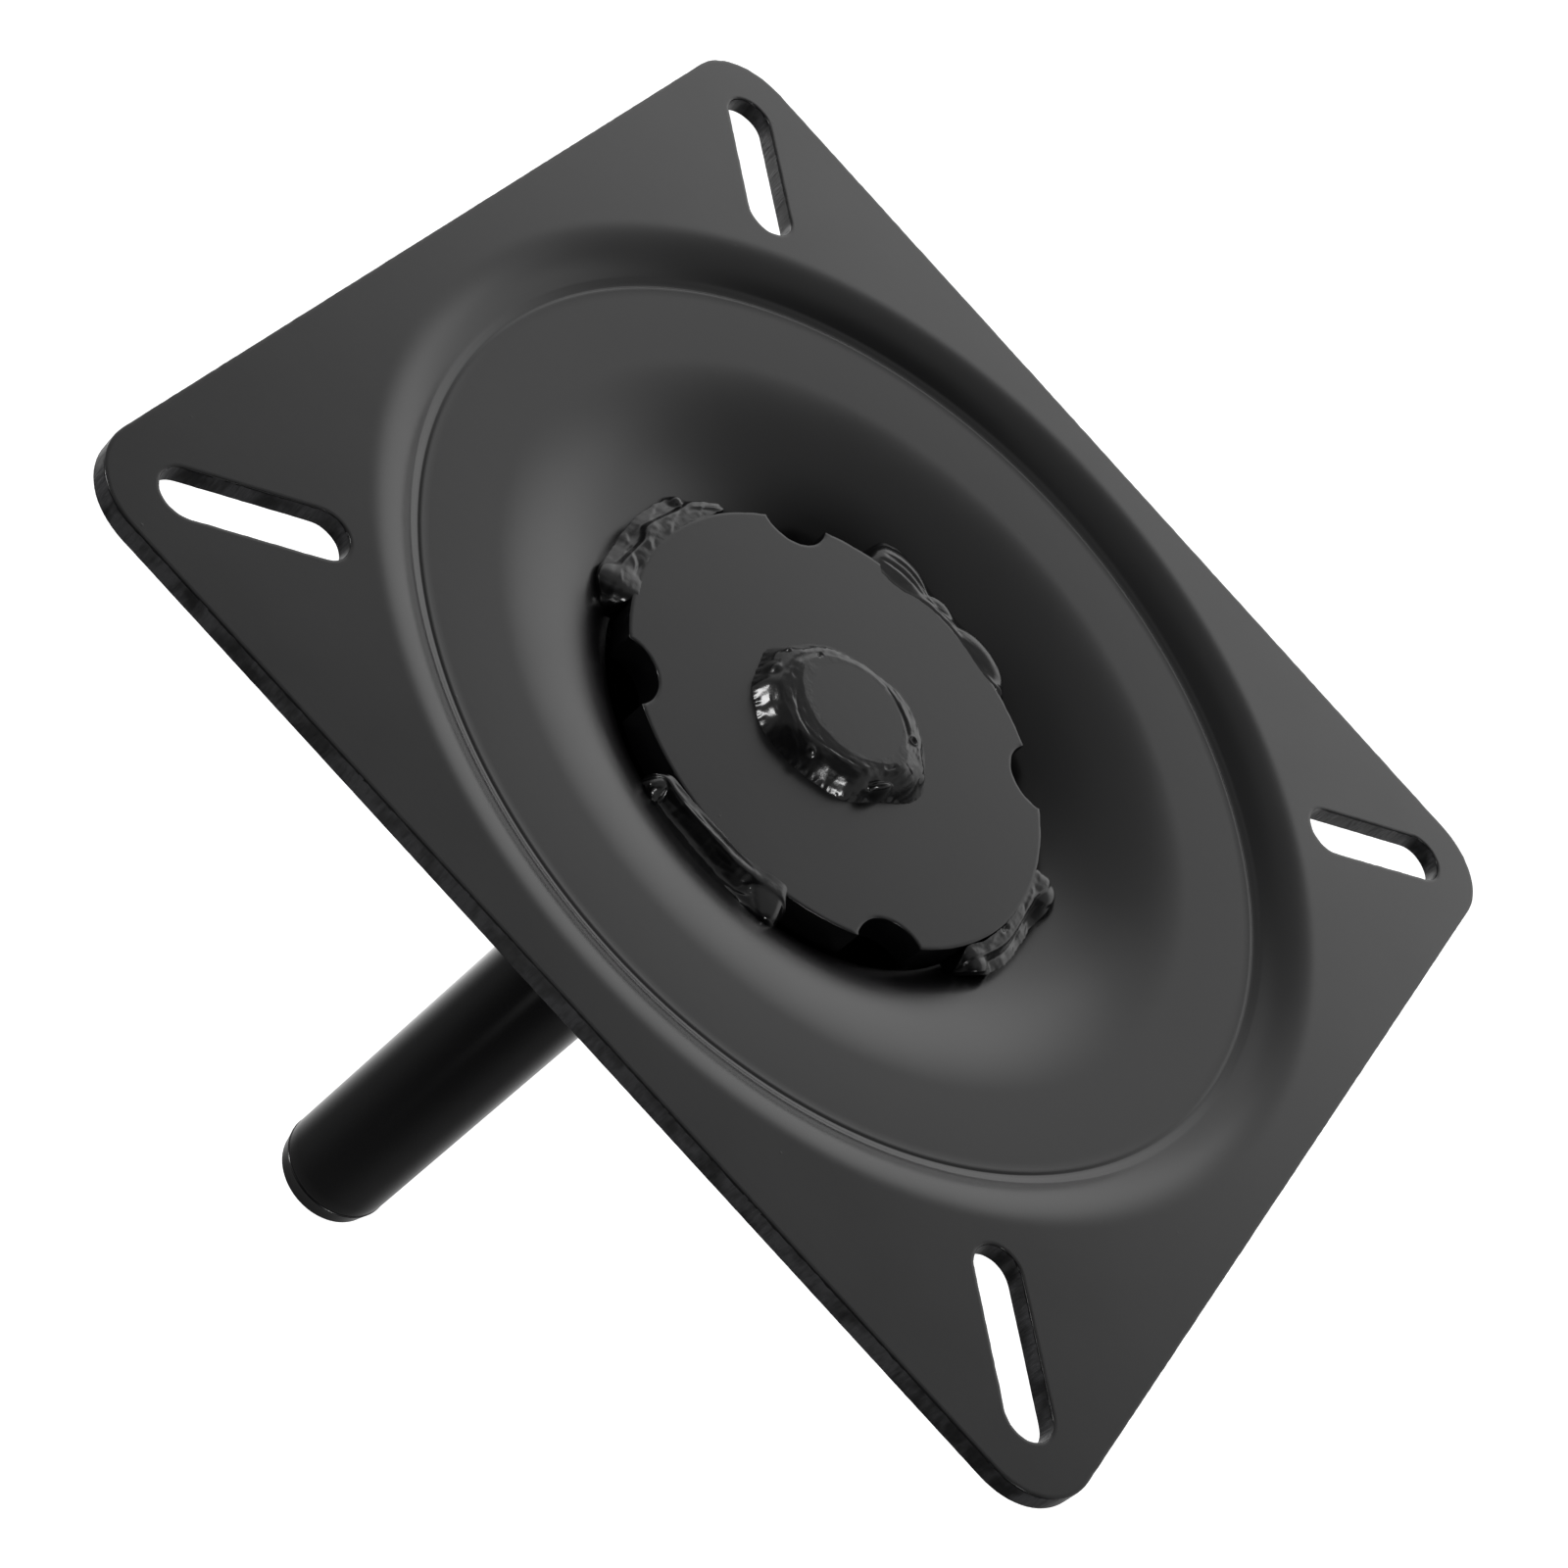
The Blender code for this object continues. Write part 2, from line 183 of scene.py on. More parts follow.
# %% Colour and nodes
def srgb(code):
    """A hex colour as linear red, green, blue and alpha."""
    channels = [int(code[i:i + 2], 16) / 255 for i in (1, 3, 5)]
    linear = [c / 12.92 if c <= 0.04045 else ((c + 0.055) / 1.055) ** 2.4 for c in channels]
    return (*linear, 1.0)


def set_inputs(tree, node, inputs):
    """Fills a node's inputs; each is a value or another node's output."""
    for key, value in inputs.items():
        if isinstance(value, bpy.types.NodeSocket):
            tree.links.new(value, node.inputs[key])
        else:
            node.inputs[key].default_value = value


def add_node(tree, kind, inputs=None, **settings):
    """Adds a node with its settings and its inputs."""
    node = tree.nodes.new("ShaderNode" + kind)
    for name, value in settings.items():
        setattr(node, name, value)
    set_inputs(tree, node, inputs or {})
    return node


def cloud(tree, place, pitch, detail):
    """Smooth random values that change over about one pitch."""
    return add_node(tree, "TexNoise", {"Vector": place, "Scale": 1 / pitch, "Detail": detail}).outputs["Fac"]


def ranged(tree, value, start, end, low, high, kind="LINEAR"):
    """A value brought from one range into another."""
    inputs = {"Value": value, "From Min": start, "From Max": end, "To Min": low, "To Max": high}
    return add_node(tree, "MapRange", inputs, interpolation_type=kind).outputs["Result"]


def reckon(tree, operation, *values):
    """One step of arithmetic on values, such as MULTIPLY or ADD."""
    return add_node(tree, "Math", dict(enumerate(values)), operation=operation).outputs[0]


def blend(tree, share, first, second):
    """A colour between two hex colours, by a share."""
    inputs = {"Factor": share, "A": srgb(first), "B": srgb(second)}
    return add_node(tree, "Mix", inputs, data_type="RGBA").outputs[2]


def bumped(tree, height, distance):
    """The direction of a surface that a height has roughened."""
    return add_node(tree, "Bump", {"Height": height, "Distance": distance}).outputs["Normal"]


def start_material(name):
    """A new material with its shader, its node tree and the object's own coordinates."""
    material = bpy.data.materials.new(name)
    material.use_nodes = True
    tree = material.node_tree
    shader = tree.nodes["Principled BSDF"]
    place = add_node(tree, "TexCoord").outputs["Object"]
    return material, tree, shader, place


# %% [markdown]
# ## The black coat
# The whole part is dipped in black paint after welding and baked, as with an electrocoat:
# a thin epoxy film, level and satin on flat sheet, thicker and glossy where it pools on the
# welds. It is a dielectric, so metallic is 0 and the IOR is that of a resin, near 1.5. A
# film that black shows almost no colour of its own: what the eye reads is its reflection,
# so roughness and a very low bump do the work. The disc mirrors a shade less than the sheet
# round it, so its film has a slightly lower IOR.

# %% Coat on sheet, disc and bar
RESIN_IOR = 1.50
DISC_IOR = 1.48
CLOUD_PITCH = 22 * MM
PEEL_PITCH = 1.6 * MM
PEEL_DEPTH = 0.003 * MM
GRAIN_PITCH = 0.25 * MM
GRAIN_SHARE = 0.12
DUST_PITCH = 7.0 * MM
DUST_REACH = 0.035


def black_coat(name, black, grey, smooth, dull, dust, ior=RESIN_IOR):
    """A baked black film: cloudy gloss, faint orange peel and a few specks of dust."""
    material, tree, shader, place = start_material(name)
    clouds = cloud(tree, place, CLOUD_PITCH, 3.0)
    skin = cloud(tree, place, PEEL_PITCH, 2.0)
    grain = cloud(tree, place, GRAIN_PITCH, 1.0)
    specks = add_node(tree, "TexVoronoi", {"Vector": place, "Scale": 1 / DUST_PITCH})
    nibs = ranged(tree, specks.outputs["Distance"], 0.0, DUST_REACH, dust, 0.0)
    height = reckon(tree, "ADD", reckon(tree, "MULTIPLY_ADD", grain, GRAIN_SHARE, skin), nibs)
    set_inputs(tree, shader, {
        "Base Color": blend(tree, clouds, black, grey),
        "Metallic": 0.0,
        "Roughness": ranged(tree, clouds, 0.3, 0.7, smooth, dull),
        "IOR": ior,
        "Normal": bumped(tree, height, PEEL_DEPTH),
    })
    return material


sheet_coat = black_coat("satin_black_electrocoat_on_sheet_steel", "#070708", "#0b0b0c", 0.22, 0.27, 8.0)
disc_coat = black_coat("satin_black_electrocoat_on_plate_steel", "#070708", "#0b0b0c", 0.22, 0.26, 10.0,
                       DISC_IOR)
bar_coat = black_coat("semi_gloss_black_electrocoat_on_bar", "#060607", "#0a0a0b", 0.17, 0.21, 6.0)
print("coats:", sheet_coat.name, disc_coat.name, bar_coat.name)

# %% [markdown]
# ## Sheared edges
# The plate's sides and slots were cut by a punch. A punch first rolls the edge over, then
# burnishes a band, and then the steel tears, which leaves a rough, matt wall with streaks
# along the cut. The coat follows all of that, so the walls get their own finish: duller,
# with streaks that run through the sheet's thickness.

# %% Coat on sheared walls
STREAK_PITCH = 0.55 * MM
STREAK_LENGTH = 5.0
PATCH_PITCH = 5 * MM
TEAR_DEPTH = 0.17 * MM


def sheared_coat(name):
    """The same black film over torn steel."""
    material, tree, shader, place = start_material(name)
    stretch = add_node(tree, "Mapping", {"Vector": place, "Scale": (1.0, 1.0, 1 / STREAK_LENGTH)})
    lines = cloud(tree, stretch.outputs[0], STREAK_PITCH, 4.0)
    patches = cloud(tree, place, PATCH_PITCH, 2.0)
    depth = reckon(tree, "MULTIPLY", lines, ranged(tree, patches, 0.4, 0.62, 0.25, 1.0))
    torn = ranged(tree, depth, 0.12, 0.50, 0.0, 1.0)
    set_inputs(tree, shader, {
        "Base Color": blend(tree, torn, "#161617", "#3c3c3e"),
        "Roughness": ranged(tree, patches, 0.35, 0.65, 0.34, 0.55),
        "IOR": RESIN_IOR,
        "Normal": bumped(tree, depth, TEAR_DEPTH),
    })
    return material


edge_coat = sheared_coat("black_electrocoat_on_sheared_edge")
print("coat:", edge_coat.name)

# %% [markdown]
# ## Paint on the welds
# Weld metal freezes in ripples and lumps, and paint pools between them. The pools level out
# into a gloss film, so the welds throw small sharp highlights while the sheet stays satin.
# Burnt flux leaves tiny grains under the film, which roughen it in places.

# %% Coat on weld metal
POOL_PITCH = 2.2 * MM
FLUX_PITCH = 0.45 * MM
FLUX_DEPTH = 0.018 * MM


def weld_paint(name):
    """Gloss black over weld metal, with grains of flux in places."""
    material, tree, shader, place = start_material(name)
    pools = cloud(tree, place, POOL_PITCH, 3.0)
    flux = cloud(tree, place, FLUX_PITCH, 3.0)
    depth = reckon(tree, "MULTIPLY", flux, ranged(tree, pools, 0.45, 0.65, 0.15, 1.0))
    set_inputs(tree, shader, {
        "Base Color": srgb("#0b0b0c"),
        "Roughness": ranged(tree, pools, 0.35, 0.7, 0.10, 0.24),
        "IOR": RESIN_IOR,
        "Normal": bumped(tree, depth, FLUX_DEPTH),
    })
    return material


bead_coat = weld_paint("gloss_black_paint_on_weld_metal")
print("coat:", bead_coat.name)

# %% [markdown]
# ## The stamping's section
# A press turned the sheet down all round into a dish and a cup. Its section is one line of
# bends and flats at constant thickness, so it is laid out as a walk along the sheet: a point
# and a tilt, carried round each bend in turn. The under side is the same walk, moved square
# to the sheet. Fine steps keep the reflection in the bends smooth.

# %% Walk along the sheet
SIDE_FLAT = 6.6
LEDGE_DEPTH = 3.4
SHOULDER_BEND = 12.0
FOOT_BEND = 2.5
LEDGE_TILT = radians(1.75)
BELL_BEND = 39.5
BELL_TILT = radians(30)
THROAT_BEND = 26.0
THROAT_TILT = radians(45)
LIP_BEND = 5.0
WALL_TILT = radians(80)
FLOOR_BEND = 3.0
WELD_ROOM = 5.8
POST_GAP = 0.3
BEND_TURN = radians(3)
BEND_STEP = 0.8

DISH_RADIUS = HALF_SIDE - SIDE_FLAT
BEND_DROP = FOOT_BEND * cos(LEDGE_TILT) + SHOULDER_BEND - LEDGE_DEPTH
SHOULDER_TILT = acos(BEND_DROP / (FOOT_BEND + SHOULDER_BEND))
FOOT_RADIUS = DISH_RADIUS - SHOULDER_BEND * sin(SHOULDER_TILT)
LINE_RADIUS = FOOT_RADIUS - FOOT_BEND * (sin(SHOULDER_TILT) - sin(LEDGE_TILT))
MOUTH_RADIUS = DISC_RADIUS + WELD_ROOM
LEDGE_WIDTH = LINE_RADIUS - MOUTH_RADIUS - BELL_BEND * (sin(BELL_TILT) - sin(LEDGE_TILT))
THROAT_RADIUS = MOUTH_RADIUS - THROAT_BEND * (sin(THROAT_TILT) - sin(BELL_TILT))
WALL_TOP = THROAT_RADIUS - LIP_BEND * (sin(WALL_TILT) - sin(THROAT_TILT))
LEDGE = SEAT - LEDGE_DEPTH
POST_HOLE = POST_RADIUS + POST_GAP


def moved(point, direction, distance):
    """A point in section, moved a distance in a direction."""
    return (point[0] + distance * cos(direction), point[1] + distance * sin(direction))


def bend(path, radius, tilt):
    """Carries the sheet's upper surface on round a bend, to a new tilt."""
    point, start = path[-1]
    side = SQUARE if tilt > start else -SQUARE
    centre = moved(point, start + side, radius)
    turn = tilt - start
    steps = ceil(max(abs(turn) / BEND_TURN, abs(turn) * radius / BEND_STEP))
    for i in range(1, steps + 1):
        now = start + turn * i / steps
        path.append((moved(centre, now - side, radius), now))


def cup_path():
    """The upper surface from the post's hole out to the ledge."""
    mouth_drop = LEDGE_DEPTH + LEDGE_WIDTH * tan(LEDGE_TILT)
    mouth_drop += BELL_BEND * (cos(LEDGE_TILT) - cos(BELL_TILT))
    throat_drop = THROAT_BEND * (cos(BELL_TILT) - cos(THROAT_TILT))
    lip_drop = LIP_BEND * (cos(THROAT_TILT) - cos(WALL_TILT))
    rise_off_floor = FLOOR_BEND * (1 - cos(WALL_TILT))
    wall_rise = CUP_DEPTH - mouth_drop - throat_drop - lip_drop - rise_off_floor
    floor_radius = WALL_TOP - wall_rise / tan(WALL_TILT) - FLOOR_BEND * sin(WALL_TILT)
    path = [((POST_HOLE, SHEET), 0.0), ((floor_radius, SHEET), 0.0)]
    bend(path, FLOOR_BEND, WALL_TILT)
    path.append((moved(path[-1][0], WALL_TILT, wall_rise / sin(WALL_TILT)), WALL_TILT))
    bend(path, LIP_BEND, THROAT_TILT)
    bend(path, THROAT_BEND, BELL_TILT)
    bend(path, BELL_BEND, LEDGE_TILT)
    return path


def shoulder_path():
    """The upper surface from the coined line out to the flat of the plate."""
    path = [((LINE_RADIUS, LEDGE), LEDGE_TILT)]
    bend(path, FOOT_BEND, SHOULDER_TILT)
    bend(path, SHOULDER_BEND, 0.0)
    return path


def offset(path, distance):
    """A path's points, moved square to the sheet."""
    return [moved(point, tilt + SQUARE, distance) for point, tilt in path]


print(f"coined line at {LINE_RADIUS:.2f}, ledge {LEDGE_WIDTH:.2f} wide, throat at {THROAT_RADIUS:.2f}")

# %% [markdown]
# ## The coined line
# Where the ledge meets the shoulder the die bit a fine line into the sheet. The steel swells
# a little inside the line, and a narrow ridge stands outside it. All of that is under a
# tenth of a millimetre high, but a gloss coat shows it all round the dish. It is made as
# real geometry: a few points of section, side by side.

# %% Section of the coined line
COINED_SECTION = [(-1.9, 0.0), (-1.2, 0.02), (-0.75, 0.06), (-0.45, 0.085), (-0.28, 0.07),
                  (-0.12, 0.0), (0.0, -0.03)]
RIDGE_PLACE = 0.85
RIDGE_WIDTH = 0.45
RIDGE_HEIGHT = 0.09


def coined_line():
    """Points of the swelling and the line, on the upper side alone."""
    return [(LINE_RADIUS + across, LEDGE + up) for across, up in COINED_SECTION]


def ridged(points):
    """The foot of the shoulder with the low ridge that the die left outside the line."""
    middle = LINE_RADIUS + RIDGE_PLACE
    return [(r, z + RIDGE_HEIGHT * exp(-((r - middle) / RIDGE_WIDTH) ** 2)) for r, z in points]


# %% [markdown]
# ## Outlines and cut edges
# The plate's outline is a rounded square and each slot is two half circles. Real sheared
# edges aren't perfect, so the roll-over at the top wanders by a tenth of a millimetre or two
# along the cut. That is what breaks up the thin bright line along an edge. A narrow flat
# ring is laid inside each edge, so that the big flat faces stay flat in their shading.

# %% Outlines in plan
CORNER_RADIUS = 11.0
SLOT_WIDTH = 8.0
SLOT_INNER_LAND = 3.7
SLOT_OUTER_LAND = 7.6
EDGE_STEP = 0.8
CORNER_STEPS = 18
SLOT_STEPS = 24
CORNER_MIDDLE = HALF_SIDE - CORNER_RADIUS
CORNER_REACH = sqrt(2) * CORNER_MIDDLE + CORNER_RADIUS


def stepped(points, step):
    """A closed outline with its long edges divided."""
    result = []
    for here, there in zip(points, points[1:] + points[:1]):
        length = (Vector(there) - Vector(here)).length
        count = max(1, round(length / step))
        for i in range(count):
            result.append(tuple(Vector(here).lerp(Vector(there), i / count)))
    return result


def rounded_square():
    """The plate's outline."""
    points = []
    for quarter, (x, y) in enumerate(((1, 1), (-1, 1), (-1, -1), (1, -1))):
        start = quarter * SQUARE
        centre = (x * CORNER_MIDDLE, y * CORNER_MIDDLE)
        points += arc(CORNER_RADIUS, start, start + SQUARE, centre, CORNER_STEPS)
    return stepped(points, EDGE_STEP)


def slot_outline(angle):
    """A bolt slot's outline."""
    outer = polar(CORNER_REACH - SLOT_OUTER_LAND - SLOT_WIDTH / 2, angle)
    inner = polar(DISH_RADIUS + SLOT_INNER_LAND + SLOT_WIDTH / 2, angle)
    points = arc(SLOT_WIDTH / 2, angle - SQUARE, angle + SQUARE, outer, SLOT_STEPS)
    points += arc(SLOT_WIDTH / 2, angle + SQUARE, angle + 3 * SQUARE, inner, SLOT_STEPS)
    return stepped(points, EDGE_STEP)


# %% Sheared edge, ring by ring
SHEARED_SECTION = [(0.60, 0.0), (0.22, 0.0), (0.08, 0.04), (0.02, 0.12), (0.0, 0.28)]
UNDER_SHARE = 0.8
RAGGED_PITCH = 1.2
RAGGED_SHARE = 0.80
RAGGED_REACH = 0.5
BURNISHED = 0.24
UNDER_LIP = 0.06
WALL_MATERIAL = 1


def inward(points, hole):
    """The unit direction from each outline point into the metal."""
    directions = []
    for i, point in enumerate(points):
        along = Vector(points[(i + 1) % len(points)]) - Vector(points[i - 1])
        side = Vector((-along.y, along.x)).normalized()
        directions.append(-side if hole else side)
    return directions


def cut_edge(bm, points, top, bottom, hole):
    """A sheared wall; gives the top and bottom rings that the flat faces start from."""
    directions = inward(points, hole)
    levels = [(inset, top - down) for inset, down in SHEARED_SECTION]
    levels += [(inset * UNDER_SHARE, bottom + down * UNDER_SHARE)
               for inset, down in reversed(SHEARED_SECTION)]
    rings = []
    for inset, height in levels:
        ring = []
        for (x, y), direction in zip(points, directions):
            ragged = 1 + RAGGED_SHARE * wobble((x, y, height), RAGGED_PITCH, 3.0)
            dip = (height - top) * ragged if height > (top + bottom) / 2 else (height - top)
            spot = Vector((x, y)) + direction * inset * (ragged if inset < RAGGED_REACH else 1.0)
            ring.append((spot.x, spot.y, top + dip))
        rings.append(lay_ring(bm, ring))
    before = set(bm.faces)
    join_rings(bm, rings)
    for face in bm.faces:
        if face not in before and len({v.co.z for v in face.verts}) > 1:
            middle = sum(v.co.z for v in face.verts) / len(face.verts)
            if bottom + UNDER_LIP < middle < top - BURNISHED:
                face.material_index = WALL_MATERIAL
    return rings[0], rings[-1]


# %% [markdown]
# ## Seat plate
# Now the pieces come together: the section is turned about the post's axis, the edges run
# round their outlines, and two flat faces close the stamping above and below.

# %% Build the seat plate
ROUND_STEPS = 240
SUPPORT_RING = 0.5


def turned(bm, section, steps=ROUND_STEPS):
    """The rings of a section turned about the post's axis, joined in order."""
    rings = []
    for radius, height in section:
        rings.append(lay_ring(bm, [(*polar(radius, TURN * i / steps), height) for i in range(steps)]))
    join_rings(bm, rings)
    return rings


def make_seat_plate():
    """The stamping, from the flat's top round the dish to its under side."""
    bm = bmesh.new()
    cup, shoulder = cup_path(), shoulder_path()
    upper = offset(cup, 0.0) + coined_line() + ridged(offset(shoulder, 0.0)[1:])
    lower = offset(cup, -SHEET) + offset(shoulder, -SHEET)
    upper.append((upper[-1][0] + SUPPORT_RING, SEAT))
    lower.append((lower[-1][0] + SUPPORT_RING, SEAT - SHEET))
    dish = turned(bm, upper[::-1] + lower)
    tops, bottoms = [], []
    outlines = [(rounded_square(), False)]
    outlines += [(slot_outline((quarter + 0.5) * SQUARE), True) for quarter in range(4)]
    for points, hole in outlines:
        top_ring, bottom_ring = cut_edge(bm, points, SEAT, SEAT - SHEET, hole)
        tops.append(top_ring)
        bottoms.append(bottom_ring)
    cover(bm, tops + [dish[0]])
    cover(bm, bottoms + [dish[-1]])
    add_piece("seat_plate_stamping", bm, [sheet_coat, edge_coat], "plate_paint", "seat_plate")


make_seat_plate()

# %% [markdown]
# ## Hub disc
# The disc is a thick blank with four round bites, cut by a punch as well. Its outline is a
# circle and four arcs, worked out from where the circles cross. It was set a degree askew
# before it was welded.

# %% Build the hub disc
NOTCH_RADIUS = 6.0
NOTCH_DEPTH = 4.2
DISC_TURN = radians(1)
NOTCH_STEPS = 26
RIM_STEPS = 44
BORE_STEPS = 96


def notched_circle():
    """The disc's outline: a circle with four round bites."""
    reach = DISC_RADIUS - NOTCH_DEPTH + NOTCH_RADIUS
    half = acos((DISC_RADIUS ** 2 + reach ** 2 - NOTCH_RADIUS ** 2) / (2 * DISC_RADIUS * reach))
    mouth = pi - acos((NOTCH_RADIUS ** 2 + reach ** 2 - DISC_RADIUS ** 2) / (2 * NOTCH_RADIUS * reach))
    points = []
    for quarter in range(4):
        angle = (quarter + 0.5) * SQUARE + DISC_TURN
        centre = polar(reach, angle)
        points += arc(NOTCH_RADIUS, angle - mouth, angle + mouth - TURN, centre, NOTCH_STEPS)
        points += arc(DISC_RADIUS, angle + half, angle + SQUARE - half, (0.0, 0.0), RIM_STEPS)[1:-1]
    return points


def make_hub_disc():
    """The notched disc with the post's hole through it."""
    bm = bmesh.new()
    bore = arc(POST_HOLE, 0.0, TURN, (0.0, 0.0), BORE_STEPS)[:-1]
    tops, bottoms = [], []
    for points, hole in ((notched_circle(), False), (bore, True)):
        top_ring, bottom_ring = cut_edge(bm, points, DISC_TOP, disc_low.z, hole)
        tops.append(top_ring)
        bottoms.append(bottom_ring)
    cover(bm, tops)
    cover(bm, bottoms)
    add_piece("hub_disc_blank", bm, [disc_coat, disc_coat], "disc_paint", "hub_disc")


make_hub_disc()

# %% [markdown]
# ## Post
# The post is a length of drawn bar. Its end was turned down to a short lead so that it
# finds the pedestal's tube, and the tool left a fine ring where the lead starts. At the top
# the arc melted the bar's edge away, so the stub's face is narrower than the bar.

# %% Build the post
LEAD_LENGTH = 3.5
LEAD_TAPER = 0.6
TIP_ROUND = 0.8
TIP_STEPS = 6
RING_SECTION = [(-0.35, 0.0), (-0.12, 0.06), (0.0, 0.10), (0.10, -0.06), (0.22, -0.10), (0.40, 0.0)]
RING_SINK = 0.05
SHAFT_GAP = 0.3
POST_STEPS = 144
SHAFT_STEPS = 60
FACE_RADIUS = 8.25
FACE_BREAK = 0.05
FACE_SUPPORT = 0.5
MELTED_DEPTH = 1.4


def make_post():
    """The bar, from its tip up its lead and its shaft to the stub above the disc."""
    bm = bmesh.new()
    tip = POST_RADIUS - LEAD_TAPER
    ring_level = POST_END + LEAD_LENGTH
    section = arc(TIP_ROUND, -SQUARE, 0.0, (tip - TIP_ROUND, POST_END + TIP_ROUND), TIP_STEPS)
    section.insert(0, (section[0][0] - FACE_SUPPORT, POST_END))
    section += [(POST_RADIUS - RING_SINK + out, ring_level + up) for up, out in RING_SECTION]
    shaft_start = section[-1][1] + SHAFT_GAP
    shaft_length = POST_TOP - MELTED_DEPTH - shaft_start
    section += [(POST_RADIUS, shaft_start + shaft_length * i / SHAFT_STEPS) for i in range(SHAFT_STEPS + 1)]
    section += [(FACE_RADIUS + FACE_BREAK, POST_TOP - FACE_BREAK), (FACE_RADIUS, POST_TOP)]
    section.append((FACE_RADIUS - FACE_SUPPORT, POST_TOP))
    rings = turned(bm, section, POST_STEPS)
    cover(bm, rings[:1])
    cover(bm, rings[-1:])
    add_piece("post_bar", bm, [bar_coat], "post_paint", "post")


make_post()

# %% [markdown]
# ## Weld beads
# A welder lays a bead as a row of puddles that freeze one over the other, and the thick
# paint then fills the creases. So a bead isn't a tube: its toes wander, its top carries long
# soft streaks, and it stops in a round blob. Each bead is drawn like a map. Tables give its
# toes at a few angles, a section rises between the toes, and lumps are laid on that.

# %% Tables, lumps and closed beads
CREASE_FADE = 0.3


def read_table(table, at, ring=False):
    """A smooth value at an angle in degrees, from a few values listed by angle."""
    knots = sorted(table.items())
    if ring:
        at = at % 360
        knots = [(a - 360, v) for a, v in knots[-2:]] + knots + [(a + 360, v) for a, v in knots[:2]]
    at = min(max(at, knots[0][0]), knots[-1][0])
    i = max(k for k in range(len(knots) - 1) if knots[k][0] <= at)

    def slope(k):
        (a0, v0), (a1, v1) = knots[max(k - 1, 0)], knots[min(k + 1, len(knots) - 1)]
        return (v1 - v0) / (a1 - a0)

    (a0, v0), (a1, v1) = knots[i], knots[i + 1]
    span = a1 - a0
    t = (at - a0) / span
    rise = slope(i) * span * (t - 2 * t * t + t ** 3) + slope(i + 1) * span * (t ** 3 - t * t)
    return v0 + (v1 - v0) * t * t * (3 - 2 * t) + rise


def soft_max(a, b, width):
    """The larger of two heights, with the crease between them filled."""
    share = max(width - abs(a - b), 0) / width
    return max(a, b) + share * share * width / 4


def dome(lump, reach, angle):
    """The height of a round lump at a reach and an angle; far below outside it."""
    at, middle, along, across, rise = lump
    inside = 1 - (reach * radians(angle - at) / along) ** 2 - ((reach - middle) / across) ** 2
    return rise * sqrt(inside) if inside > 0 else rise * inside


def crease(line, reach, angle):
    """The depth of a crease that runs along a table of reaches; it fades at both ends."""
    path, width, depth = line
    first, last = min(path), max(path)
    from_end = min(angle - first, last - angle) / (CREASE_FADE * (last - first))
    if from_end <= 0:
        return 0.0
    return depth * min(from_end, 1.0) * exp(-((reach - read_table(path, angle)) / width) ** 2)


def streaks(layers, angle, reach):
    """Noise drawn out along a seam; a layer is a height, degrees, a rate, a level and a seed."""
    return sum(height * wobble((angle / span, reach * rate, level), 1.0, seed)
               for height, span, rate, level, seed in layers)


def swells(layers, spot):
    """Noise that is even in plan; a layer is a height, a level, a pitch and a seed."""
    return sum(height * wobble((*spot, level), pitch, seed) for height, level, pitch, seed in layers)


def add_bead(bm, sections, angles, closed):
    """A closed bead: sections stood up round the post's axis and joined."""
    rings = []
    for section, angle in zip(sections, angles):
        rings.append(lay_ring(bm, [(*polar(r, radians(angle)), z) for r, z in section]))
    if closed:
        join_rings(bm, rings + rings[:1])
    else:
        join_rings(bm, rings)
        bm.faces.new(rings[0])
        bm.faces.new(rings[-1])


# %% [markdown]
# ## Weld round the stub
# This bead ties the post to the disc. Seen from above it isn't round: it is widest at the
# front left, comes to a point on each side, and has a straight flank at the front right. At
# the front it lies a little below the edge of the stub; at the back it laps over the edge.
# A gently falling shelf turns into a steep flank. Long streaks and low swells run over both,
# fine grains sit at the foot alone, and one bubble burst at the back right. A crease with a
# negative depth is a raised line.

# %% Build the weld round the stub
TOP_TOE = {0: 14.7, 9: 15.2, 15: 15.2, 24: 14.8, 43: 14.4, 61: 14.2, 77: 13.8, 96: 12.9, 116: 12.5,
           144: 13.4, 160: 13.8, 172: 14.3, 183: 15.1, 196: 15.0, 208: 15.3, 216: 15.75, 222: 15.65,
           229: 15.6, 236: 15.8, 242: 15.8, 250: 15.5, 258: 15.0, 267: 14.6, 277: 14.2, 286: 13.8,
           294: 13.8, 302: 13.8, 311: 13.4, 322: 12.9, 338: 13.0, 350: 13.9}
TOP_LAP = {0: 9.8, 24: 8.9, 50: 8.5, 85: 8.4, 128: 8.4, 160: 9.2, 180: 9.8, 201: 10.0, 220: 9.6,
           239: 9.2, 277: 8.7, 298: 8.5, 330: 8.7, 350: 9.7}
TOP_LUMPS = [(185, 12.9, 0.9, 0.8, 3.35), (11, 13.3, 2.0, 1.3, 2.7), (204, 13.2, 2.4, 1.4, 3.1),
             (267, 12.4, 1.5, 1.0, 3.15), (330, 11.6, 3.0, 1.0, 3.3)]
TOP_CREASES = [({211: 10.2, 228: 10.9, 243: 11.5, 259: 11.4, 280: 10.2, 308: 9.8, 316: 9.5}, 0.22, 0.10),
               ({206: 10.9, 228: 11.6, 243: 12.1, 259: 11.9, 280: 10.8, 305: 10.3}, 0.25, -0.03),
               ({332: 9.3, 340: 9.5, 349: 9.6}, 0.25, 0.30),
               ({14: 9.1, 26: 9.1, 45: 8.8, 88: 8.5}, 0.28, 0.30),
               ({163: 9.6, 167: 9.7, 171: 9.6}, 0.25, 0.25)]
TOP_STREAKS = [(0.10, 16, 1.1, 0.0, 4.0), (0.035, 7, 2.6, 0.0, 6.0)]
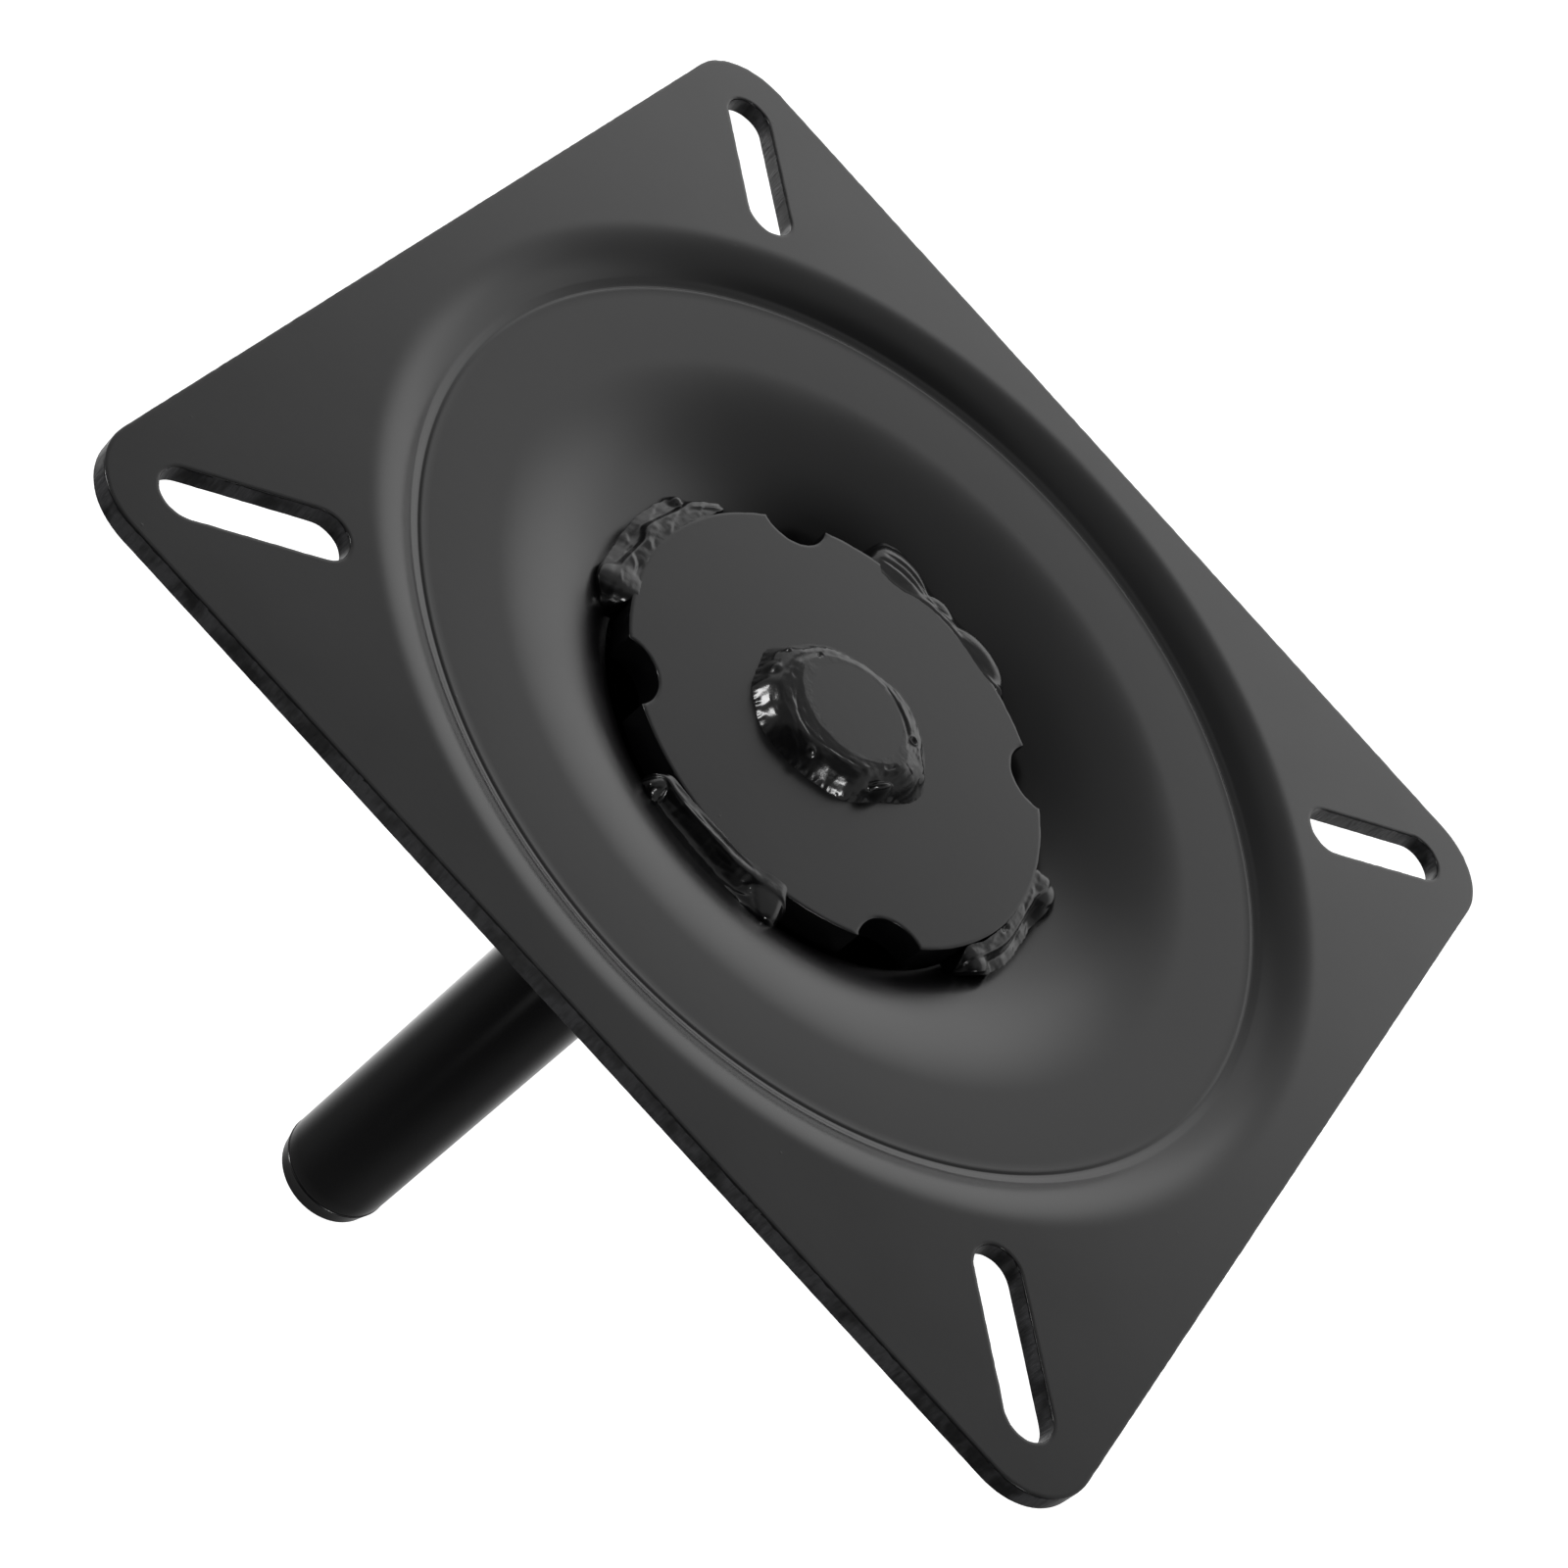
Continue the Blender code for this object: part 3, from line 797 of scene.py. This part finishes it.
TOP_SWELLS = [(0.16, 0.0, 4.2, 9.0), (0.05, 1.0, 1.1, 2.0)]
FOOT_GRAINS = [(0.22, 3.0, 0.9, 5.0), (0.08, 5.0, 0.45, 5.0)]
FOOT_WIDTH = 0.5
TOE_WANDER = [(0.15, 0.0, 4.5, 5.0)]
LAP_WANDER = [(0.16, 4.0, 2.4, 8.0)]
WANDER_RADIUS = 14
LEAST_LAP = 0.1
BUBBLE = (30, 9.9, 0.65)
BUBBLE_RIM = 0.20
BUBBLE_PIT = 0.30
FILM = 0.01
FLANK_SLOPE = tan(radians(57))
SHELF_FALL = 0.15
SHELF_ROUND = 2.0
SHELF_CALM = 1.2
TOE_CALM = 0.8
LUMP_BLEND = 0.5
TOP_INSIDE = [(-0.4, -0.6), (-0.35, FILM), (-0.3, FILM)]
TOP_ROOT = [(0.15, -0.35), (-0.3, -0.7)]
ROOT_DEPTH = 0.8
TOP_STEPS = 480
TOP_ACROSS = 54
BEAD_SHARP = radians(80)


def top_rise(angle, reach, lap, toe):
    """How high the bead stands above the disc."""
    spot = polar(reach, radians(angle))
    crest = POST_TOP - DISC_TOP + FILM
    shelf = crest - SHELF_FALL * max(0.0, reach - lap)
    flank = FLANK_SLOPE * (toe - reach)
    rise = min(-soft_max(-shelf, -flank, SHELF_ROUND), crest)
    calm = min(max(reach - lap, 0.0) / SHELF_CALM, 1.0) * min(1.0, (toe - reach) / TOE_CALM + 0.1)
    rise += calm * (streaks(TOP_STREAKS, angle, reach) + swells(TOP_SWELLS, spot))
    rise += exp(-((toe - reach) / FOOT_WIDTH) ** 2) * swells(FOOT_GRAINS, spot)
    for lump in TOP_LUMPS:
        rise = soft_max(rise, dome(lump, reach, angle), LUMP_BLEND)
    for line in TOP_CREASES:
        rise -= crease(line, reach, angle)
    at, middle, size = BUBBLE
    away = sqrt((reach * radians(angle - at)) ** 2 + (reach - middle) ** 2) / size
    return rise + BUBBLE_RIM * exp(-((away - 1) / 0.3) ** 2) - BUBBLE_PIT * exp(-(away / 0.6) ** 2)


def top_section(angle):
    """The bead's section at an angle: flush with the stub's face, then shelf, flank and toe."""
    around = polar(WANDER_RADIUS, radians(angle))
    toe = read_table(TOP_TOE, angle, ring=True) + swells(TOE_WANDER, around)
    lap = read_table(TOP_LAP, angle, ring=True) + swells(LAP_WANDER, around)
    lap = max(lap, FACE_RADIUS + LEAST_LAP)
    section = [(FACE_RADIUS + out, POST_TOP + up) for out, up in TOP_INSIDE]
    for i in range(TOP_ACROSS + 1):
        reach = FACE_RADIUS + (toe - FACE_RADIUS) * i / TOP_ACROSS
        section.append((reach, DISC_TOP + top_rise(angle, reach, lap, toe)))
    section += [(toe + out, DISC_TOP + up) for out, up in TOP_ROOT]
    section.append((POST_RADIUS, DISC_TOP - ROOT_DEPTH))
    return section


def make_top_weld():
    """The bead right round the stub."""
    bm = bmesh.new()
    angles = [360 * i / TOP_STEPS for i in range(TOP_STEPS)]
    add_bead(bm, [top_section(a) for a in angles], angles, closed=True)
    add_piece("post_top_weld_bead", bm, [bead_coat], "weld_paint", "post_top_weld", sharp=BEAD_SHARP)


make_top_weld()

# %% [markdown]
# ## Welds round the disc's rim
# Four short beads fill the groove between the disc and the lip of the cup. The front one is
# a long smooth run, dark in its middle, with a blob where the arc stopped. The left one is
# lumpy. The back one is two leaf-shaped laps laid end to end, and the right one is narrow
# with a step along it. Each bead is one table, with its angles in degrees:
#
# - inner and outer give the reach of its two toes;
# - profile says how far it has fallen towards the bell, by the share of its width;
# - seam, where there is one, says at which reach the profile has its step;
# - a lump is its angle, its reach, its spread along and across, and its height;
# - puddles have a pitch, a start and a rise from one to the next, which may be negative;
# - a crease is a line of reaches, its width and its depth.

# %% Build the rim welds
FRONT_WELD = {
    "inner": {250: 37.6, 252.5: 37.0, 256: 36.6, 262: 36.0, 269: 35.5, 275: 35.7, 280: 35.2, 285: 34.8,
              290: 35.4},
    "outer": {250: 40.6, 254: 41.0, 259: 41.2, 265: 41.4, 272: 41.2, 279: 41.3, 285: 41.6, 290: 41.2},
    "profile": {0: 0, 0.15: -0.012, 0.31: -0.03, 0.38: 0.05, 0.49: 0.66, 0.60: 1.06, 0.72: 1.20,
                0.86: 1.14, 1: 1},
    "lumps": [(285.2, 35.6, 3.6, 6.1, 1.27), (252.9, 38.8, 1.5, 2.2, 1.05)],
    "puddles": (9.0, 3.0, -0.06),
    "creases": [({256: 38.5, 262: 38.0, 271: 37.1}, 0.20, -0.14),
                ({262: 36.9, 270: 36.4, 279: 36.5}, 0.22, 0.15),
                ({272: 39.5, 276: 38.9, 280: 38.9}, 0.45, -0.22),
                ({275: 40.4, 279: 40.1, 283: 40.2}, 0.40, -0.18)],
}
LEFT_WELD = {
    "inner": {155: 37.1, 160: 36.5, 165: 36.0, 172: 36.2, 181: 35.9, 190: 36.1, 197: 35.8, 202: 35.4,
              207: 35.6},
    "outer": {155: 38.3, 160: 39.2, 166: 41.1, 176: 41.3, 186: 41.1, 194: 41.0, 202: 41.7, 207: 41.3},
    "profile": {0: 0, 0.3: 0.03, 0.5: 0.12, 0.58: 0.40, 0.66: 0.64, 0.85: 0.85, 1: 1},
    "seam": {155: 37.9, 165: 39.6, 170.5: 39.0, 182: 39.6, 186: 38.6, 190: 38.7, 198: 39.6, 207: 39.8},
    "lumps": [(202.2, 38.2, 3.6, 3.9, 1.10), (168.0, 40.2, 1.0, 0.8, 0.5)],
    "puddles": (10.0, 14.0, 0.20),
    "creases": [({186.5: 38.4, 192: 38.9, 198: 39.7}, 0.24, 0.30),
                ({170: 39.0, 176: 39.2, 183.5: 39.8}, 0.28, 0.30),
                ({193: 36.9, 196: 36.7, 199: 36.9}, 0.30, 0.22),
                ({158: 36.9, 162: 37.5, 167: 38.2}, 0.30, -0.15)],
}
BACK_WELD = {
    "inner": {68: 37.2, 72: 36.0, 75: 35.5, 81: 35.7, 90: 36.0, 98: 35.4, 105: 34.2, 110: 34.7, 114: 35.6},
    "outer": {68: 40.2, 72: 40.8, 78: 41.8, 85: 41.5, 90: 41.2, 95: 41.2, 102: 42.2, 107: 43.0, 114: 42.0},
    "profile": {0: 0, 0.15: -0.02, 0.5: 0.25, 0.8: 0.7, 1: 1},
    "lumps": [(105.5, 38.4, 5.6, 3.9, 1.68), (79.0, 38.3, 5.8, 2.7, 1.62), (93.0, 38.6, 2.6, 1.6, 1.15)],
    "puddles": (6.0, 8.0, 0.12),
    "creases": [({97: 38.0, 104: 38.9, 111: 38.9}, 0.28, 0.30),
                ({98: 37.0, 105: 37.3, 112: 37.4}, 0.28, 0.18)],
}
RIGHT_WELD = {
    "inner": {-23: 37.2, -20: 36.4, -15: 36.6, -8: 36.4, 0: 36.2, 6: 36.0, 14: 36.0, 18: 36.2, 21: 36.8},
    "outer": {-23: 39.8, -20: 40.3, -14: 40.7, -7: 40.6, 0: 40.1, 7: 40.0, 12: 40.7, 17: 41.0, 21: 40.6},
    "profile": {0: 0, 0.3: 0.05, 0.48: 0.14, 0.57: 0.50, 0.66: 0.82, 0.85: 0.93, 1: 1},
    "seam": {-23: 38.7, -11: 38.9, -6: 38.8, 0: 38.3, 6: 38.0, 12: 38.3, 16: 39.5, 21: 39.6},
    "lumps": [(15.5, 38.6, 3.0, 2.4, 0.85), (-19.0, 38.6, 2.4, 2.2, 0.95)],
    "puddles": (7.0, 2.0, -0.10),
    "creases": [({-11: 39.2, -6: 39.1, 0: 38.6, 6: 38.3, 13: 38.5}, 0.30, 0.20),
                ({-7: 36.9, -5.5: 36.7, -4: 36.9}, 0.35, 0.35), ({4: 37.1, 8: 37.0, 12: 37.2}, 0.25, -0.10)],
}
BEAD_DEPTH = 4.6
BEAD_STEP = 0.30
ROOT_RADIUS = 39.0
NOSE = 2.3
NOSE_DROP = 2.6
LEAST_NOSE = 0.08
OUTER_ROOT = (0.2, -0.8)
INNER_ROOT = (-0.1, -0.5)
DISC_GAP = 0.3
LUMP_FLOOR = 1.2
RIM_LUMP_BLEND = 0.7
RIM_ACROSS = 40
SEAM_SHARE = 0.60
RIM_STREAKS = [(0.05, 6, 0.7, 0.0), (0.03, 1.6, 1.0, 3.0)]
INNER_CALM, OUTER_CALM = 0.20, 0.25
INNER_WANDER, OUTER_WANDER = 0.12, 0.15
INNER_RAGS, OUTER_RAGS = 0.10, 0.16
INNER_SPAN, OUTER_SPAN = 3.2, 3.8
INNER_SIDE, OUTER_SIDE = 0.0, 6.0
PUDDLE_MIDDLE = 38.0
PUDDLE_LEAN = 3.0
PUDDLE_WANDER = 2.0
PUDDLE_SHARE = 0.82


def lip_level(radius):
    """The height of the sheet's upper surface at a radius beyond the cup's wall."""
    line = offset(cup_path(), 0.0)
    for (r0, z0), (r1, z1) in zip(line, line[1:]):
        if r0 < radius <= r1:
            return z0 + (z1 - z0) * (radius - r0) / (r1 - r0)
    return line[-1][1]


def puddle_fall(puddles, reach, angle):
    """The height left by a row of frozen puddles: each falls slowly, then steps up to the next."""
    pitch, start, rise = puddles
    wander = PUDDLE_WANDER * wobble((angle / 4, reach * 0.9, 2.0), 1.0, start)
    shift = PUDDLE_LEAN * (reach - PUDDLE_MIDDLE) + wander
    way = ((angle + shift - start) / pitch) % 1.0
    size = min(max(0.45 + 1.5 * wobble((angle / 4, reach * 1.1, 9.0), 1.0, start), 0.0), 1.0)
    if way < PUDDLE_SHARE:
        return rise * size * (0.5 - way / PUDDLE_SHARE)
    return rise * size * ((way - PUDDLE_SHARE) / (1 - PUDDLE_SHARE) - 0.5)


def profile_share(weld, angle, share, inner, outer):
    """How far across the profile a point lies, with the profile's step moved to the seam."""
    if "seam" not in weld:
        return share
    seam = read_table(weld["seam"], angle)
    reach = inner + (outer - inner) * share
    if reach > seam:
        return SEAM_SHARE + (1 - SEAM_SHARE) * (reach - seam) / (outer - seam)
    return SEAM_SHARE * (reach - inner) / (seam - inner)


def toe_wobble(angle, span, side, seed):
    """A smooth random value along one toe, which changes over a span of degrees."""
    return wobble((angle / span, side, 0.0), 1.0, seed)


def rim_section(weld, angle, seed):
    """A rim bead's section, from its toe on the disc to its toe on the throat."""
    first, last = min(weld["inner"]), max(weld["inner"])
    from_end = min(angle - first, last - angle) * radians(1) * DISC_RADIUS / NOSE
    nose = sqrt(max(0.0, 1 - (1 - min(from_end, 1.0)) ** 2))
    inner, outer = read_table(weld["inner"], angle), read_table(weld["outer"], angle)
    middle, half = (inner + outer) / 2, (outer - inner) / 2 * max(nose, LEAST_NOSE)
    inner = middle - half + INNER_WANDER * toe_wobble(angle, INNER_SPAN, INNER_SIDE, seed)
    inner += INNER_RAGS * toe_wobble(angle, 1.0, INNER_SIDE, seed)
    outer = middle + half + OUTER_WANDER * toe_wobble(angle, OUTER_SPAN, OUTER_SIDE, seed)
    fall = DISC_TOP - lip_level(outer)
    outer += OUTER_RAGS * toe_wobble(angle, 1.0, OUTER_SIDE, seed)
    layers = [(*layer, seed) for layer in RIM_STREAKS]
    crown = []
    for i in range(RIM_ACROSS + 1):
        share = i / RIM_ACROSS
        reach = inner + (outer - inner) * share
        warped = profile_share(weld, angle, share, inner, outer)
        height = DISC_TOP - fall * read_table(weld["profile"], warped)
        calm = min(1.0, share / INNER_CALM) * min(1.0, (1 - share) / OUTER_CALM)
        height += calm * (puddle_fall(weld["puddles"], reach, angle) + streaks(layers, angle, reach))
        for lump in weld["lumps"]:
            height = soft_max(height, DISC_TOP - LUMP_FLOOR + dome(lump, reach, angle), RIM_LUMP_BLEND)
        for line in weld["creases"]:
            height -= crease(line, reach, angle)
        crown.append((reach, height - NOSE_DROP * (1 - nose)))
    root = DISC_TOP - BEAD_DEPTH
    outer_root = (outer + OUTER_ROOT[0], crown[-1][1] + OUTER_ROOT[1])
    inner_root = (inner + INNER_ROOT[0], crown[0][1] + INNER_ROOT[1])
    return crown + [outer_root, (ROOT_RADIUS, root), (DISC_RADIUS - DISC_GAP, root), inner_root]


def make_rim_weld(name, node, weld, seed):
    """One rim bead, from the first angle in its tables to the last."""
    bm = bmesh.new()
    first, last = min(weld["inner"]), max(weld["inner"])
    steps = ceil(radians(last - first) * DISC_RADIUS / BEAD_STEP)
    angles = [first + (last - first) * i / steps for i in range(steps + 1)]
    add_bead(bm, [rim_section(weld, angle, seed) for angle in angles], angles, closed=False)
    add_piece(name, bm, [bead_coat], "weld_paint", node, sharp=BEAD_SHARP)


make_rim_weld("rim_weld_front_bead", "rim_weld_front", FRONT_WELD, 5.0)
make_rim_weld("rim_weld_right_bead", "rim_weld_right", RIGHT_WELD, 8.0)
make_rim_weld("rim_weld_back_bead", "rim_weld_back", BACK_WELD, 3.0)
make_rim_weld("rim_weld_left_bead", "rim_weld_left", LEFT_WELD, 7.0)

# %% [markdown]
# ## Weld under the cup
# The last bead is out of sight in the photograph: it holds the post under the cup's floor.
# It is a plain fillet right round. Its leg wanders a little, and a low ripple runs along it.

# %% Build the weld under the cup
UNDER_LEG = 4.8
UNDER_WANDER = 0.3
UNDER_REACH = 12.0
UNDER_SINK = 0.4
UNDER_BULGE = 0.82
UNDER_RIPPLE = 0.12
UNDER_STEPS = 300
UNDER_ACROSS = 30


def under_section(angle):
    """The fillet's section at an angle, from the post to the cup's floor."""
    spot = polar(UNDER_REACH, radians(angle))
    leg = UNDER_LEG + UNDER_WANDER * wobble((*spot, 0.0), 4.0, 12.0)
    section = [(POST_RADIUS - UNDER_SINK, UNDER_SINK), (POST_RADIUS - UNDER_SINK, -leg)]
    for i in range(UNDER_ACROSS + 1):
        turn = SQUARE * i / UNDER_ACROSS
        ripple = UNDER_RIPPLE * wobble((angle / 3.5, turn * 3, 0.0), 1.0, 6.0) * sin(2 * turn)
        bulge = UNDER_BULGE + ripple
        out = leg * (bulge * sin(turn) + (1 - bulge) * (turn / SQUARE))
        down = leg * (bulge * cos(turn) + (1 - bulge) * (1 - turn / SQUARE))
        section.append((POST_RADIUS + out, -down))
    section.append((POST_RADIUS + leg - 0.2, UNDER_SINK))
    return section


def make_under_weld():
    """The fillet between the post and the under side of the cup's floor."""
    bm = bmesh.new()
    angles = [360 * i / UNDER_STEPS for i in range(UNDER_STEPS)]
    add_bead(bm, [under_section(a) for a in angles], angles, closed=True)
    add_piece("post_under_weld_bead", bm, [bead_coat], "weld_paint", "post_under_weld", sharp=BEAD_SHARP)


make_under_weld()

# %% [markdown]
# ## Floor
# A plain pale floor lies well below the part, which the photograph shows free in the air.
# The camera sees it white. To what the gloss coat mirrors, it glows instead with painted
# light and shade by where it lies, as if it were a sweep lit from behind: bright at the back,
# more so at the left, and dark in front. A painted pale strip in front of the part gives the
# post a painted reflection, a streak down its side.

# %% Floor
FLOOR_DROP = 150.0
FLOOR_SIZE = 12.0
SOFT = "SMOOTHSTEP"


def make_floor_paint():
    """White to the camera and matt to other light; to gloss rays it glows with painted light and shade."""
    material = bpy.data.materials.new("white_floor_with_painted_glow")
    material.use_nodes = True
    tree = material.node_tree
    tree.nodes.clear()
    axes = add_node(tree, "SeparateXYZ", {0: add_node(tree, "TexCoord").outputs["Object"]})
    x, y = axes.outputs["X"], axes.outputs["Y"]
    # Painted light and shade, seen by gloss rays alone: dim in front, brighter at the back and more so at
    # the left.
    painted_front_shade = ranged(tree, y, -0.24, -0.06, 0.05, 0.15, SOFT)
    painted_back_light = ranged(tree, y, 0.0, 0.32, 0.0, 1.0, SOFT)
    painted_left_light = ranged(tree, x, -0.10, 0.08, 1.7, 0.8, SOFT)
    # A painted pale strip in front of the part, which the post mirrors as a painted streak down its side.
    painted_strip_across = ranged(tree, reckon(tree, "ABSOLUTE", x), 0.012, 0.050, 0.85, 0.0, SOFT)
    painted_strip_along = reckon(tree, "SUBTRACT", 1.0, ranged(tree, y, -0.31, -0.23, 0.0, 1.0, SOFT))
    painted_strip_and_front_shade = reckon(tree, "MULTIPLY_ADD", painted_strip_across, painted_strip_along, painted_front_shade)
    painted_floor_light_and_shade = reckon(tree, "MULTIPLY_ADD", painted_back_light, painted_left_light, painted_strip_and_front_shade)
    rays = add_node(tree, "LightPath")
    matt = add_node(tree, "BsdfDiffuse", {"Color": srgb("#d8d8d8")}).outputs[0]
    painted_glow_for_gloss_rays = add_node(tree, "Emission", {"Strength": painted_floor_light_and_shade}).outputs[0]
    seen = add_node(tree, "Emission", {"Strength": 0.90}).outputs[0]
    white = add_node(tree, "AddShader", {0: seen, 1: matt}).outputs[0]
    unseen = add_node(tree, "MixShader", {0: rays.outputs["Is Glossy Ray"], 1: matt, 2: painted_glow_for_gloss_rays}).outputs[0]
    surface = add_node(tree, "MixShader", {0: rays.outputs["Is Camera Ray"], 1: unseen, 2: white}).outputs[0]
    add_node(tree, "OutputMaterial", {"Surface": surface})
    return material


floor_mesh = bpy.data.meshes.new("floor")
floor_build = bmesh.new()
bmesh.ops.create_grid(floor_build, x_segments=1, y_segments=1, size=FLOOR_SIZE)
floor_build.to_mesh(floor_mesh)
floor_build.free()
floor_mesh.materials.append(make_floor_paint())
floor = bpy.data.objects.new("floor", floor_mesh)
floor.location.z = (POST_END - FLOOR_DROP) * MM
bpy.context.scene.collection.objects.link(floor)
print(f"floor at {floor.location.z / MM:.0f} mm")

# %% [markdown]
# ## Studio light
# The room is a soft dome. A bright backdrop stands low down behind the part, and the ceiling
# is a steady grey with a dark gap round the camera and a shallower one on each side, so the
# satin flats carry a slow gradient. Two softboxes at the sides put the small white
# highlights on the welds. Directions are given by how far round they lie from the back,
# clockwise seen from above, and how high.

# %% World and softboxes
BACKDROP = 1.50
CEILING = 0.52
SOFTBOX_DISTANCE = 0.9
SOFTBOX_RADIANCE = 20.0


def towards(azimuth, elevation):
    """The unit vector that points round from the back and up from the floor."""
    return Vector((sin(azimuth) * cos(elevation), cos(azimuth) * cos(elevation), sin(elevation)))


world = bpy.data.worlds.new("studio")
bpy.context.scene.world = world
world.use_nodes = True
sky = world.node_tree
sky.nodes.clear()
sky_way = add_node(sky, "TexCoord").outputs["Generated"]
sky_axes = add_node(sky, "SeparateXYZ", {0: sky_way})
sideways, backwards, upwards = (sky_axes.outputs[axis] for axis in "XYZ")
across = reckon(sky, "POWER", sideways, 2.0)
level = reckon(sky, "SQRT", reckon(sky, "MULTIPLY_ADD", backwards, backwards, across))
facing = reckon(sky, "DIVIDE", backwards, level)


def gap(azimuth, elevation, width, depth):
    """A share of light that dips by a depth round one direction of the dome."""
    way = towards(azimuth, elevation)
    nearness = add_node(sky, "VectorMath", {0: sky_way, 1: way}, operation="DOT_PRODUCT")
    return ranged(sky, nearness.outputs["Value"], cos(width), 1.0, 1.0, 1.0 - depth, SOFT)


backdrop_top = ranged(sky, upwards, sin(radians(28.5)), sin(radians(43.5)), 1.0, 0.0, SOFT)
backdrop_foot = ranged(sky, upwards, 0.0, sin(radians(30)), 0.56, 1.0, SOFT)
backdrop_middle = ranged(sky, facing, 0.90, 0.985, 0.55, 1.0, SOFT)
backdrop_side = ranged(sky, facing, 0.25, 0.90, 0.0, BACKDROP, SOFT)
backdrop_rows = reckon(sky, "MULTIPLY", backdrop_top, backdrop_foot)
backdrop_span = reckon(sky, "MULTIPLY", backdrop_middle, backdrop_side)
backdrop = reckon(sky, "MULTIPLY", backdrop_rows, backdrop_span)
right_gap = gap(radians(106), radians(52), radians(36), 0.70)
left_gap = gap(radians(-100), radians(60), radians(34), 0.40)
camera_gap = gap(radians(180), radians(36), radians(46), 0.93)
gaps = reckon(sky, "MULTIPLY", reckon(sky, "MULTIPLY", right_gap, left_gap), camera_gap)
ceiling = reckon(sky, "MULTIPLY", gaps, CEILING)
brightness = reckon(sky, "ADD", backdrop, ceiling)
room = add_node(sky, "Background", {"Strength": brightness}).outputs[0]
white_room = add_node(sky, "Background", {"Strength": 1.0}).outputs[0]
sky_rays = add_node(sky, "LightPath")
sky_mix = add_node(sky, "MixShader", {0: sky_rays.outputs["Is Camera Ray"], 1: room, 2: white_room})
add_node(sky, "OutputWorld", {"Surface": sky_mix.outputs[0]})


def add_softbox(name, azimuth, elevation, width, height):
    """A lamp of a plain width and height, aimed at the hub."""
    data = bpy.data.lights.new(name, "AREA")
    data.shape = "RECTANGLE"
    data.size = width
    data.size_y = height
    data.energy = SOFTBOX_RADIANCE * pi * width * height
    lamp = bpy.data.objects.new(name, data)
    way = towards(azimuth, elevation)
    lamp.location = way * SOFTBOX_DISTANCE
    lamp.rotation_mode = "QUATERNION"
    lamp.rotation_quaternion = (-way).to_track_quat("-Z", "Y")
    bpy.context.scene.collection.objects.link(lamp)
    print(f"{name}: {data.energy:.2f} W")


add_softbox("softbox_left", radians(-107), radians(21), 0.12, 0.26)
add_softbox("softbox_right", radians(130), radians(27), 0.18, 0.12)

# %% [markdown]
# ## Last steps
# The view transform stays plain, so a grey renders as it was written.

# %% Finish
bpy.context.scene.view_settings.view_transform = "Standard"
